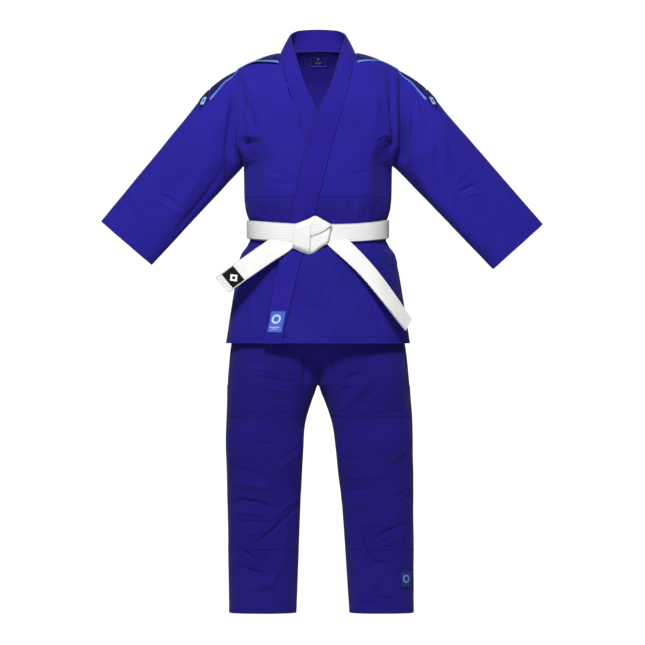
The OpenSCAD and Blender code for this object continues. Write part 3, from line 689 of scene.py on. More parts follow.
SLEEVE_R_FOLDS = [
    # the crease beside the armhole and the cloth that bulges next to it
    ([(-204, 335), (-214, 265), (-221, 210), (-219, 160)], 8, -9), ([(-197, 310), (-204, 180)], 3.5, 4),
    ([(-235, 315), (-260, 200)], 12, 4),
    # long pleats from the armpit towards the cuff
    ([(-255, 190), (-305, 110), (-365, 25)], 15, 6),
    ([(-224, 165), (-270, 95), (-320, 35), (-365, -20)], 8, -6),
    # wrinkles at the elbow
    ([(-290, 255), (-315, 200), (-320, 150), (-295, 125)], 4.5, -2.6),
    ([(-275, 235), (-290, 185), (-295, 145)], 6, 2.2), ([(-390, 100), (-355, 85), (-325, 60)], 3.2, -3.2),
    ([(-395, 85), (-365, 70), (-335, 45)], 5, 2.4), ([(-345, 205), (-370, 170), (-410, 130)], 10, -2.2),
    # shallow ones before the cuff
    ([(-475, 90), (-430, 30)], 6, -2), ([(-415, 75), (-395, 45), (-390, 10)], 6, -2),
    ([(-440, 115), (-485, 60)], 10, 2)]

SLEEVE_L_FOLDS = [
    # creases and pleats beside the armhole, one next to the other
    ([(202, 300), (207, 205), (202, 160)], 6.5, -9), ([(196, 345), (194, 210)], 2.6, 3),
    ([(216, 285), (219, 210), (228, 155)], 4.5, 4.5), ([(224, 325), (228, 275), (224, 220)], 3.6, -5.5),
    ([(240, 335), (245, 260), (240, 185)], 6, 3.5), ([(260, 310), (270, 205)], 5, -3),
    ([(285, 235), (285, 180), (290, 125)], 4.2, -4.5), ([(305, 250), (310, 145)], 6, 2.6),
    ([(310, 240), (325, 195), (340, 145)], 5, -2.8),
    # a star of wrinkles at the elbow
    ([(335, 100), (390, 125)], 3.2, -3.6), ([(335, 115), (370, 150)], 3.2, -2.6),
    ([(335, 100), (335, 55)], 3.2, -2.4), ([(350, 90), (375, 100), (405, 105)], 5, 2.4),
    # long pleats from the armpit, and shallow ones before the cuff
    ([(224, 170), (280, 95), (350, 15), (390, -25)], 13, 5.5), ([(199, 160), (365, -35)], 7, -6),
    ([(370, 70), (440, 5)], 8, -1.8), ([(440, 85), (480, 15)], 8, -1.8)]

# x from, x to, z of the middle, how far the line drops on either side of it, half width and height of folds
# that run across a leg
ACROSS_LEG = [
    # right thigh and knee
    (-175, -68, -328, 6, 4, 3), (-165, -49, -350, 8, 4, -3.6), (-151, -44, -374, 9, 5, 2.6),
    (-146, -49, -396, 8, 4, -2.2), (-199, -136, -570, 12, 6, -2.4), (-199, -112, -606, 4, 9, 6),
    (-199, -117, -673, 3, 5, 4.5), (-214, -92, -694, 3, 2.6, -3.4), (-180, -131, -722, -4, 6, 4.5),
    (-199, -146, -768, 22, 4, -5.5), (-190, -124, -812, 10, 4.2, -5),
    # left knee
    (58, 112, -540, 0, 4, -2), (53, 141, -616, -5, 6, -2.6), (66, 160, -648, 2, 6, 2.6),
    (63, 165, -583, -4, 6, 2.2), (112, 158, -708, 0, 2.4, -2.2), (141, 199, -880, 4, 4, -3.4),
    (83, 141, -890, 6, 4, -2.4)]


def across_leg(start, end, middle, drop, width, height):
    return [(start, middle + drop), (end, middle - drop)], width, height


LEG_FOLDS = [across_leg(*values) for values in ACROSS_LEG] + [
    # pulls from the crotch
    ([(-90, -310), (-70, -320), (-45, -345)], 10, 6), ([(-35, -285), (-30, -335), (-35, -385)], 5, -8),
    ([(-115, -280), (-55, -300)], 5, -3.5), ([(-15, -280), (-10, -320)], 3.5, 5),
    ([(35, -270), (35, -345)], 3.6, -5), ([(60, -285), (70, -325), (65, -350)], 8, 4),
    ([(145, -325), (95, -385), (40, -435)], 7, 4.5), ([(165, -345), (80, -435)], 8, -3),
    ([(55, -355), (85, -340), (120, -330)], 4, -4.5), ([(45, -390), (60, -375), (80, -370)], 4, -3),
    # slanting folds at the right knee and the bowl of cloth below it
    ([(-205, -650), (-180, -640), (-145, -645), (-105, -660)], 4, -8),
    ([(-95, -565), (-50, -520)], 3.6, 3), ([(-100, -550), (-60, -515)], 3.4, -2.6),
    ([(-50, -630), (-105, -685)], 4, 4.5), ([(-45, -650), (-85, -695)], 4, -3.4),
    ([(-75, -680), (-110, -715), (-155, -750)], 4.5, -7), ([(-115, -750), (-135, -805)], 8, -4),
    ([(-75, -720), (-85, -785), (-115, -845), (-155, -855), (-190, -820)], 9, 6),
    ([(-55, -740), (-60, -885)], 6, -3),
    # the same on the left leg
    ([(175, -545), (210, -515)], 3.2, 2.6), ([(175, -560), (210, -535)], 3.2, -2.6),
    ([(180, -640), (200, -625), (220, -645)], 3.4, -4), ([(135, -740), (165, -715), (210, -700)], 4.5, -6),
    ([(145, -755), (205, -730)], 5, 4), ([(100, -705), (110, -755), (135, -795), (175, -790)], 5.5, -7),
    ([(80, -740), (90, -800), (115, -855)], 9, 6), ([(160, -805), (130, -865)], 8, 3.5),
    ([(215, -700), (170, -840)], 1.8, 1.8), ([(180, -850), (210, -805)], 5, -2.6)]


def front_folds(p, lines, behind=0.4):
    """The listed folds on the front, and fainter and wider ones behind."""
    h = np.zeros(p.shape[:-1])
    front = at_side(p, FRONT)
    for points, width, height in lines:
        h = h + stroke(p, points, width, height) * front
        h = h + stroke(p, points, width * 1.7 + 2, height * behind) * (1 - front)
    return h


def torso_folds(p):
    """How far the jacket's cloth stands off its smooth shape."""
    x, z = p[..., 0], p[..., 2]
    h = 1.2 * waves(p, 150, 5, 11) + 0.5 * waves(p, 46, 6, 12)
    h = h + front_folds(p, CHEST_FOLDS + PUCKER_FOLDS + SKIRT_FOLDS)
    # the chest's sides turn back towards the armpits, and the skirt is fluted behind
    turn = np.where(x < 0, -x - 124, x - 122 - 20 * ease((z - 180) / 60))
    h = h - 13.0 * ease(turn / 42) * ease((238 - z) / 20) * ease((z - 30) / 80) * at_side(p, FRONT)
    h = h + ease((-30 - z) / 60) * 3.0 * np.cos(x * 2 * math.pi / 118 + 0.6) * at_side(p, BACK)
    # the belt presses it flat, and it's sewn down at the armholes
    pressed = window(z, -26, 36, 10)
    armhole = ease((z - 160) / 12) * ease((np.abs(x) - jacket_width(z) + 9) / 8)
    return h * (1 - 0.9 * pressed) * (1 - armhole)


def trouser_folds(p):
    """How far the trousers' cloth stands off its smooth shape."""
    x, z = p[..., 0], p[..., 2]
    h = 2.2 * waves(p, 170, 5, 21) + 1.0 * waves(p, 60, 7, 22)
    h = h * mix(0.3, 1.0, ease((-40 - z) / 120))
    knee = window(np.abs(x), 60, 200, 50) * np.exp(-((z + 530) / 90) ** 2)
    h = h + at_side(p, FRONT) * 13.0 * knee + front_folds(p, LEG_FOLDS)
    # furrows across each leg, above the knee patch's upper edge and along a seam below it
    for hand in (RIGHT, LEFT):
        for side in (FRONT, BACK):
            h = h + stroke(p, [(hand * 30, -424), (hand * 120, -437), (hand * 214, -424)], 2.2, -2.0, side)
            h = h + stroke(p, [(hand * 50, -498), (hand * 130, -504), (hand * 214, -492)], 2.2, -1.6, side)
    return h


# ---------------------------------------------------------------- lapels, seams and panels of the jacket

free_line = curve([
    (HEM_Z, -131), (-66, -92), (29, -65), (98, -53), (221, -26), (289, -2), (377, 36), (425, 52)])
lapel_reach = curve([
    (HEM_Z, -5), (-66, 0), (46, 3), (124, 8), (221, 11), (328, -1), (385, -11), (441, -15)])


def seam_line(z):
    """x of the over lapel's seam at height z; the under lapel mirrors it."""
    return np.minimum(94, free_line(z) + LAPEL_W + lapel_reach(z))


def jacket_at(x, z, o, side):
    """jacket_point for an x in millimetres."""
    return jacket_point(x / jacket_width(z), z, o, side)


def under_drop(z):
    """How deep the under front lies: deeper near the hem, where the over front's hem is folded."""
    return 4.2 + 3.6 * ease((-150 - z) / 50)


def front_offset(hand, u, z):
    """The left front lies on the base surface and the right one under it, where they overlap."""
    return 0 * u if hand == LEFT else -ease((1 + u) / 0.3) * under_drop(z)


def panel_rows():
    """Rows up to the crown, and then over the shoulder."""
    return np.concatenate([np.linspace(0, 1, 64, endpoint=False), 1 + np.linspace(0, 1, 72)])[:, None]


def skirt_rows():
    return np.linspace(HEM_Z, WAIST_SEAM_Z, SKIRT_ROWS)[:, None]


def to_side_seam(inner, count):
    """Columns from inner to the side seam, where they are close together."""
    return mix(inner, 1.0, np.sin(np.linspace(0, 1, count)[None, :] * math.pi / 2))


def calm(p, u):
    """Spreads the armhole's sharp start over a few rows, more towards the middle of the body."""
    share = ease((1 - np.abs(u)) * 4) * ease((262 - p[..., 2]) / 45)
    return mix(p, relax(p, 9.0), share[..., None])


def front_surface(hand):
    v = panel_rows()
    edge_z = panel_height(v, 0 * v, math.pi / 2, FRONT)
    u = to_side_seam(mix((seam_line(edge_z) - 6) / jacket_width(edge_z), NECK_U - 0.02, ease(v - 1)), 110)
    z = panel_height(v, u, math.pi / 2, FRONT)
    o = front_offset(hand, hand * u, z)
    return Surface(calm(jacket_point(hand * u, z, o, FRONT), u), folds=torso_folds)


def skirt_surface(hand):
    z = skirt_rows()
    u = to_side_seam((seam_line(z) - 6) / jacket_width(z), SKIRT_COLUMNS)
    return Surface(jacket_point(hand * u, z, front_offset(hand, hand * u, z), FRONT), folds=torso_folds)


def back_columns():
    return -np.cos(np.linspace(0, 1, 190) * math.pi)[None, :]


def back_surface():
    neck_y = 54.0
    u = back_columns()
    inside_neck = np.sqrt(np.clip(1 - (u / NECK_U) ** 2, 0, 1))
    phi = np.where(np.abs(u) >= NECK_U, math.pi / 2, np.arccos(neck_y / back_depth(CROWN_Z) * inside_neck))
    z = panel_height(panel_rows(), u, phi, BACK)
    return Surface(calm(jacket_point(u, z, 0, BACK), u), folds=torso_folds)


def back_skirt_surface():
    return Surface(jacket_point(back_columns(), skirt_rows(), 0, BACK), folds=torso_folds)


def lapel_band():
    """The one long band from the right hem, round the neck and down to the left hem."""
    t = np.linspace(0, 1, 64)[None, :]
    top_z, start_z = 378.0, 380.6  # where the fronts end and the neck starts

    def up_the_front(hand):
        z = np.linspace(HEM_Z, top_z, LAPEL_ROWS)[:, None]
        x = hand * mix(seam_line(z), free_line(z), t)
        o = mix(-under_drop(z) - 0.2 if hand == RIGHT else 2.0, 2.4, ease((z - 300) / 70))
        return Surface(jacket_at(x, z, o, FRONT), inside=[0, 0, 60.0], folds=torso_folds).p

    def round_the_neck(line, points):
        """From right to left; points are those of the left half, from the front to the middle behind."""
        half = np.array([jacket_at(line(start_z), start_z, 3.4, FRONT), *points])
        return by_length(np.concatenate([half * [-1, 1, 1], half[-2::-1]]), 120)[:, None]

    seam = round_the_neck(seam_line, [(86, -66, 416), (92.5, -25, 438), (90.5, 17, 442), (66, 43, 445),
                                      (0, 58.5, 446)])
    edge = round_the_neck(free_line, [(51.5, -76, 428), (64, -37, 462), (69, 5, 484), (52, 45, 497),
                                      (0, 64.5, 501)])
    neck = mix(seam, edge, t[..., None])
    out = (neck - [0, -4.0, 0]) * [1, 1, 0]
    neck = neck + 2.5 * np.sin(t * math.pi)[..., None] * out / np.linalg.norm(out, axis=-1, keepdims=True)
    rows = np.concatenate([up_the_front(RIGHT), neck[2:-2], up_the_front(LEFT)[::-1]])
    # smoothed where the neck joins the fronts
    i = np.arange(len(rows))
    near = np.exp(-((np.minimum(i, len(rows) - i) - LAPEL_ROWS - 1) / 22.0) ** 2)
    return mix(rows, relax(rows, 5.0), np.clip(near * 1.4, 0, 1)[:, None, None])


# ---------------------------------------------------------------- sleeves

def sleeve_axes(hand):
    """Directions along a sleeve, and across it towards its upper side."""
    d = SLEEVE_DROP[hand]
    along = np.array([hand * math.cos(d), 0, -math.sin(d)])
    across = np.array([hand * math.sin(d), 0, math.cos(d)])
    return along, across


def armhole_ring(hand, theta):
    """Where a sleeve meets the jacket, tucked 1.4 mm into it."""
    z = mix(168.0, SHOULDER_Z - 0.5, (1 + np.cos(theta)) / 2)
    front = jacket_point(hand + 0 * z, z, 0, FRONT)
    back = jacket_point(hand + 0 * z, z, 0, BACK)
    p = np.where((np.sin(theta) < 0)[:, None], front, back)
    return p - [hand * 1.4, 0, 0]


def drum_ring(hand, theta, r, low_deg, high_deg, half_d):
    """A ring at radius r round the shoulder, from low_deg under the arm to high_deg on top of it."""
    phi = np.radians(mix(low_deg, high_deg, (1 + np.cos(theta)) / 2))
    return PIVOT[hand] + stack(hand * r * np.cos(phi), half_d * power(np.sin(theta), 0.9), r * np.sin(phi))


def tube_ring(hand, theta, s):
    """A section of the sleeve, s from the shoulder along it."""
    along, across = sleeve_axes(hand)
    t = (s - 110) / (SLEEVE_LENGTH[hand] - 110)
    top = ease(0.5 + np.cos(theta) / 2)
    a, b = mix(mix(93.0, 88.0, top), 82.0, t), mix(70.0, 42.0, t)
    lean = 9.0 * np.cos(theta) * ease((s - 110) / 120)
    height = a * power(np.cos(theta), 0.82)
    depth = b * power(np.sin(theta), 0.78) + lean
    return PIVOT[hand] + along * (s + 0 * theta)[:, None] + across * height[:, None] + stack(0, depth, 0)


def sleeve_surface(hand):
    """The cap bends from the armhole to the tube's first ring, and the tube runs on to the cuff."""
    theta = np.linspace(0, 2 * math.pi, SLEEVE_COLUMNS, endpoint=False)
    a, e = armhole_ring(hand, theta), drum_ring(hand, theta, 107, -92, 7, 71)
    bulge = 22 * ease((1 + np.cos(theta)) / 2)[:, None]
    c = (a + e) / 2 + np.array([hand * 0.64, 0, 0.77]) * bulge
    low_part = ease((1 - np.cos(theta)) / 2 * 1.5 - 0.25)
    e = mix(e, tube_ring(hand, theta, mix(110, 95, low_part)), low_part[:, None])
    c = mix(c, (a + e) / 2, low_part[:, None])
    cap = [a * (1 - t) ** 2 + c * 2 * t * (1 - t) + e * t * t for t in np.linspace(0, 1, 8)]
    start = mix(158.0, 118.0, low_part)
    tube = [tube_ring(hand, theta, mix(start, SLEEVE_LENGTH[hand], t)) for t in np.linspace(0, 1, 12)]
    return relax(resample(np.array(cap + tube), 190), 4.0), theta


def underarm_hollow(p, middle, width, depth):
    """The cloth beside the armhole sinks in, deeper towards the armpit."""
    x, z = p[..., 0], p[..., 2]
    return -depth * ease((312 - z) / 120) * np.exp(-((np.abs(x) - middle) / width) ** 2) * at_side(p, FRONT)


def sleeve_folds(hand, p, theta):
    """Folds of a sleeve: it bulges beside the armhole, sinks in under the arm and has the listed folds."""
    away = arc(p, 0)
    h = 6.5 * np.exp(-((away - 30) / 17) ** 2) * np.abs(np.sin(theta))[None, :] ** 0.7
    h = h + 1.0 * waves(p, 120, 5, 31 + hand) + 0.6 * waves(p, 46, 6, 33 + hand)
    h = h + front_folds(p, SLEEVE_R_FOLDS if hand == RIGHT else SLEEVE_L_FOLDS, 0.6)
    h = h + underarm_hollow(p, 214 if hand == RIGHT else 207, 10, 10.0)
    return h * ease(away / 14)


def sleeves(weave, cuff_cloth):
    surfaces = {}
    for hand, side in SIDE.items():
        p, theta = sleeve_surface(hand)
        centre = PIVOT[hand] + sleeve_axes(hand)[0] * 180
        surface = Surface(p, wrap=True, inside=centre, folds=sleeve_folds(hand, p, theta))
        away = arc(surface.p, 0)
        length, last = away[-1].mean(), len(p) - 1
        relief = furrow(away - length + CUFF_STITCH, 0.6, 1.3) + furrow(away - 9, 0.5, 1.2)
        sheet_of(side + "_sleeve", surface, CLOTH, weave, relief=relief)
        rows = np.linspace(last - (CUFF_STITCH + 1) / length * last, last - 0.3, 24)[:, None]
        lining = surface.sample(rows, np.arange(SLEEVE_COLUMNS)[None, :], -CLOTH - GAP)
        sheet_of(side + "_cuff", Surface(lining, wrap=True, inside=centre), 2.0, cuff_cloth)
        surfaces[hand] = surface
    return surfaces


# ---------------------------------------------------------------- the jacket

def hem_fold(name, skirt, columns, cloth):
    """The strip that is turned up behind a skirt's lower edge."""
    rows = np.linspace(0.3, 6.4, 6)[:, None]
    sheet_of(name, Surface(skirt.sample(rows, columns[None, :], -CLOTH - GAP)), HEM_FOLD, cloth)


def jacket_panels(weave, quilt):
    for hand, side in SIDE.items():
        sheet_of(side + "_front_panel", front_surface(hand), CLOTH, weave, anchor=1.0)
        skirt = skirt_surface(hand)
        hem_stitches = furrow(skirt.p[..., 2] - HEM_Z - HEM_STITCH, 0.5, 1.2)
        sheet_of(side + "_front_skirt", skirt, CLOTH, quilt, anchor=1.0, relief=hem_stitches)
        hem_fold(side + "_front_hem", skirt, np.linspace(3, 126, 110), quilt)
        vent_patch(side, skirt)
    back, skirt = back_surface(), back_skirt_surface()
    sheet_of("back_panel", back, CLOTH, weave, anchor=0.5)
    z = skirt.p[..., 2]
    seams = furrow(z - HEM_Z - HEM_STITCH, 0.5, 1.2) + furrow(z - VENT_Z, 0.7, 1.4)
    sheet_of("back_skirt", skirt, CLOTH, quilt, anchor=0.5, relief=seams)
    hem_fold("back_hem", skirt, np.linspace(4, 185, 150), quilt)
    rows = index_of(np.linspace(414, 444, 12), back.p[:, 95, 2])[:, None]
    columns = index_of(np.linspace(-20, 20, 16), back.p[120, :, 0])[None, :]
    sheet_of("neck_label", Surface(back.sample(rows, columns, -CLOTH - 0.5)), 0.8, neck_label_cloth())


def vent_patch(side, skirt):
    """A triangle of cloth over the top of the side vent."""
    row = (VENT_Z + 6 - HEM_Z) / (WAIST_SEAM_Z - HEM_Z) * (SKIRT_ROWS - 1)
    rows = row + np.linspace(-12, 10, 16)[:, None]
    narrow = np.linspace(1.0, 0.12, 16)[:, None]
    columns = SKIRT_COLUMNS - 3 - np.linspace(0, 30, 14)[None, :] * narrow
    cloth = twill("vent_twill_" + side, BLUE, BLUE_LIGHT)
    sheet_of(side + "_vent_patch", Surface(skirt.sample(rows, columns, 1.4)), 1.2, cloth)


def lapels(band_cloth):
    p = lapel_band()
    t = np.linspace(0, 1, p.shape[1])[None, :]
    band = Surface(p, inside=[0, 0, 150.0])
    relief = stitch_channels(LAPEL_W, 0.55, t) + 0.7 * pillow(t, 5)
    sheet_of("lapel_and_collar", band, LAPEL, band_cloth, relief=relief)
    # the patch is on the left lapel, whose rows are counted back from its hem
    heights = p[::-1, 32, 2][:LAPEL_ROWS]
    rows = len(p) - 1 - index_of(np.linspace(-236, -185, 20), heights)[:, None]
    patch = Surface(band.sample(rows, np.linspace(8, 55, 20)[None, :], 2.2))
    sheet_of("lapel_patch", patch, 1.2, lapel_patch_cloth())


# ---------------------------------------------------------------- trim over the shoulders

# edges of the trim in degrees from the shoulder line, t from 0 at the neck to 1 at the armhole and 2 beyond
front_edge = curve([
    (0, -29), (0.36, -20), (0.64, -8), (0.8, -4), (0.93, -5), (1, -12), (1.175, -24), (1.475, -31),
    (1.9, -40), (2, -42)])
back_edge = curve([(0, 26), (1, 30), (2, 40)])


def yoke_span(t):
    return front_edge(t), back_edge(t)


def front_piping_span(t):
    return front_edge(t) - mix(2.6, 4.6, ease(t - 0.8)), front_edge(t) + 0.3


def back_piping_span(t):
    return back_edge(t) - 0.3, back_edge(t) + 3.2


def over_shoulder(hand, u, phi, o):
    """Points of the jacket phi in front of the shoulder line (below 0) or behind it."""
    front, back = (jacket_point(hand * u, CROWN_Z + (ridge(u, side) + o - CROWN_Z) * np.cos(phi), o, side)
                   for side in (FRONT, BACK))
    return np.where((phi < 0)[..., None], front, back)


def row_at(sleeve, distance):
    """Rows of a sleeve's grid at these distances from the armhole, measured near the top of its front."""
    return index_of(distance, arc(sleeve.p, 0)[:, SLEEVE_COLUMNS - 16])[:, None]


def shoulder_strip(name, hand, span, lift, thickness, cloth, sleeve):
    """A strip of trim in two pieces: over the shoulder line, and on along the top of the sleeve."""
    strip_end = 80.0
    across = np.linspace(0, 1, 40)[None, :]
    t = np.linspace(0, 1, 70)[:, None]
    phi = np.radians(mix(*span(t), across))
    base = over_shoulder(hand, mix(NECK_U + 0.01, 0.998, t), phi, lift)
    torso = Surface(base, inside=[hand * 140, 0, 300.0], folds=torso_folds)
    sheet_of(name + "_neck_side", torso, thickness, cloth)
    t = np.linspace(0, 1, 50)[:, None]
    columns = mix(*span(1 + t), across) / 360 * SLEEVE_COLUMNS
    on_sleeve = sleeve.sample(row_at(sleeve, np.linspace(1.0, strip_end, 50)), columns, lift)
    sheet_of(name + "_sleeve_side", Surface(on_sleeve, inside=PIVOT[hand]), thickness, cloth)


def shoulder_trim(surfaces):
    yoke_cloth = twill("yoke_twill", (0.006, 0.007, 0.075), (0.010, 0.011, 0.105))
    piping_cloth = twill("piping_satin", (0.10, 0.18, 0.56), (0.14, 0.23, 0.66), pitch=0.0009)
    for hand, side in SIDE.items():
        sleeve = surfaces[hand]
        shoulder_strip(side + "_yoke", hand, yoke_span, 1.2, 1.0, yoke_cloth, sleeve)
        shoulder_strip(side + "_front_piping", hand, front_piping_span, 2.2, 1.8, piping_cloth, sleeve)
        shoulder_strip(side + "_back_piping", hand, back_piping_span, 2.2, 1.8, piping_cloth, sleeve)
        columns = np.linspace(-44, -2, 24)[None, :] / 360 * SLEEVE_COLUMNS
        badge = sleeve.sample(row_at(sleeve, np.linspace(85, 117, 20)), columns, 1.8)
        sheet_of(side + "_badge", Surface(badge, inside=PIVOT[hand]), 1.2, shoulder_badge_cloth(side))


# ---------------------------------------------------------------- the belt

def belt_wraps(cloth):
    beta = np.linspace(0, 2 * math.pi, 320, endpoint=False)[None, :]
    lift = np.linspace(-BELT_W / 2, BELT_W / 2, BELT_COLUMNS)[:, None]
    depth = np.where(np.sin(beta) < 0, WAIST_FRONT_D, WAIST_BACK_D)
    sag = 11 * np.maximum(0, -np.sin(beta)) ** 2
    t = lift / BELT_W + 0.5
    relief = stitch_channels(BELT_W, 0.35, t) + 0.35 * pillow(t, 6)
    for name, o, shift, phase in (("belt_inner_wrap", 4.7, -1.2, 0.0), ("belt_outer_wrap", 7.4, 0.4, 1.7)):
        z = 13.5 - sag + lift + shift + 0.8 * np.sin(3 * beta + phase)
        p = oval(WAIST_HALF_W + o, depth + o, z, beta) + stack(0, 0.25 * np.sign(np.sin(beta)), 0)
        build(name, p, BELT_T, cloth, wrap=True, inside=[0, 0, 10.0], relief=relief)


def ruled(first, second, rows, columns):
    """A grid between two lines of (x, y, z) points, each taken as a smooth curve by its own length."""
    a, b = (by_length(line, rows)[:, None] for line in (first, second))
    return mix(a, b, np.linspace(0, 1, columns)[None, :, None])


# the two edges of each tail, from the knot to the tip
TAIL_EDGES = {
    "right_belt_tail": (
        [(-52, -113, -19), (-62, -121, -32.8), (-104, -130, -62), (-158, -130, -99),
         (-215.3, -113, -139.7)],
        [(-118, -112, -12), (-127.6, -115, -19.4), (-150, -121, -35), (-192, -121, -65),
         (-245, -106, -104.7)]),
    "left_belt_tail": (
        [(18, -115, -17), (26, -122, -27), (50, -133, -49), (95, -137, -90.9), (157.7, -138, -164),
         (211.9, -125, -230.4)],
        [(72, -112, -11), (80, -119, -20), (98, -129, -38), (136.8, -128, -80.4), (185.7, -116, -144.8),
         (227.4, -96, -205.8)])}


def belt_tails(cloth):
    t = np.linspace(0, 1, BELT_COLUMNS)[None, :]
    along = np.linspace(0, 1, TAIL_ROWS)[:, None]
    for name, (first, second) in TAIL_EDGES.items():
        p = ruled(first, second, TAIL_ROWS, BELT_COLUMNS)
        p[..., 1] += 1.6 * np.sin(along * 7 + t * 2.0) + 1.4 * (2 * t - 1) ** 2 * np.sin(along * 4)
        surface = Surface(p, inside=[0, 0, -80.0])
        from_tip = (along - 1) * np.linalg.norm(p[-1] - p[0], axis=-1).mean()
        relief = stitch_channels(BELT_W, 0.4, t) + 0.4 * pillow(t, 6) + furrow(from_tip + 5, 0.4, 1.1)
        sheet_of(name, surface, 3.4, cloth, relief=relief)
        if name == "right_belt_tail":
            columns = np.linspace(2, 41, 30)[None, :]
            length = np.interp(columns, np.arange(BELT_COLUMNS), arc(p, 0)[-1])
            rows = (TAIL_ROWS - 1) * (1 - np.linspace(51, 16, 20)[:, None] / length)
            label = Surface(surface.sample(rows, columns, 1.2), inside=[0, 0, -80.0])
            sheet_of("belt_label", label, 1.0, belt_label_cloth())


# (x, z) points of each fold's upper and lower line, its depth before the body and how far it bulges
KNOT_FOLDS = {
    "knot_left_fold": ([(-53, 25), (-36, 31), (-17, 39)], [(-62, -33), (-42, -42), (-20, -50)], 119, 14),
    "knot_right_fold": ([(-22, 37), (-6.6, 43.7), (12, 35), (33.3, 23)],
                        [(-22, -12), (-13, -9.7), (5, -2.5), (27, 16)], 118, 11),
    "knot_lower_fold": ([(-22, -2), (-6, 2), (14, 12), (31, 20)],
                        [(-22, -50), (-14, -48), (4, -35), (23, -23)], 117, 8),
    "knot_core": ([(-50, 22), (-8, 38), (30, 20)], [(-56, -30), (-20, -45), (20, -20)], 113, 8)}


def knot(cloth):
    """Flat folds of the belt that turn back at their edges."""
    t = np.linspace(0, 1, 60)
    for name, (*lines, depth, bulge) in KNOT_FOLDS.items():
        upper, lower = ([(x, -depth, z) for x, z in line] for line in lines)
        p = ruled(upper, lower, 60, 60)
        p[..., 1] -= bulge * pillow(t, 7)[None, :] + 1.5 * pillow(t, 10)[:, None]
        sheet_of(name, Surface(p, inside=[0, 0, 0]), 3.0, cloth, relief=0.12 * np.sin(t * 40)[None, :])


# ---------------------------------------------------------------- the trousers

hip_width = curve([(-15, 151), (VENT_Z, 170), (-150, 194), (-266, 212), (CROTCH_Z, 220)])
hip_depth = curve([(-15, 93), (VENT_Z, 102), (-150, 113), (-266, 118), (CROTCH_Z, 107)])
leg_outer = {
    RIGHT: curve([(TROUSER_Z, -216), (-700, -219), (-484, -222), (CROTCH_Z, -220), (-300, -216)]),
    LEFT: curve([(TROUSER_Z, 233), (-700, 232), (-484, 230), (CROTCH_Z, 223), (-300, 218)])}
leg_inner = {
    RIGHT: curve([(TROUSER_Z, -52), (-593, -40), (-484, -35), (-400, -14), (CROTCH_Z, 5)]),
    LEFT: curve([(TROUSER_Z, 76), (-593, 53), (-484, 40), (-400, 15), (CROTCH_Z, -5)])}
leg_depth = curve([(TROUSER_Z, 69), (-760, 73), (-600, 81), (-484, 92), (CROTCH_Z, 106), (-300, 112)])


def leg_point(hand, beta, z):
    """A point of a leg at height z and at this angle from its outermost line."""
    outer, inner = leg_outer[hand](z), leg_inner[hand](z)
    half = hand * np.abs(outer - inner) / 2
    return oval(half, leg_depth(z), z, beta, LEG_ROUNDNESS) + stack((outer + inner) / 2, 0, 0)


def trouser_surface(hand):
    """One side, from the hem up to the waist. Columns go from the front round the outside to the back."""
    leg_z, hip_z = np.linspace(TROUSER_Z, CROTCH_Z - 2, 270), np.linspace(CROTCH_Z, -15.6, 130)
    z = np.concatenate([leg_z, hip_z])[:, None]
    tau = np.linspace(-1, 1, TROUSER_COLUMNS)[None, :]
    share = ease((-250 - z) / (-250 - CROTCH_Z))
    hips = oval(hip_width(z) + (2 if hand == LEFT else 0) * share, hip_depth(z), z, tau * math.pi / 2)
    hips[..., 0] = hand * np.maximum(-0.9, hips[..., 0])
    reach = np.radians(mix(160.0, 180.0, ease((CROTCH_Z - z) / (CROTCH_Z - GUSSET_END_Z))))
    p = mix(hips, leg_point(hand, reach * tau, z + 0 * tau), share[..., None])
    # both sides stop short of the middle above the crotch
    above = p[..., 2] > CROTCH_Z - 3
    p[..., 0] = np.where(above, hand * np.maximum(-0.9, hand * p[..., 0] - 1.2), p[..., 0])
    widest = np.where(z > CROTCH_Z, hip_width(z), np.abs(leg_outer[hand](z)))
    seam = flat_felled(np.abs(p[..., 0]) - widest + 11) * at_side(p, FRONT)
    folds = trouser_folds(p) * ease((1 - np.abs(tau)) / 0.05)
    return Surface(p, inside=[hand * 110, 0, -450.0], folds=folds + seam)


def flat_felled(distance):
    """A seam sewn down flat: raised 0.7 mm over 10 mm, with a furrow along one edge."""
    return 0.7 * window(distance, -5, 5, 0.8) + furrow(distance - 5, 0.5, 0.9)


def column_at(degrees):
    """Columns of a trouser side at these angles from its outermost line, below 0 on the front."""
    return (degrees[None, :] / 180 + 1) / 2 * (TROUSER_COLUMNS - 1)


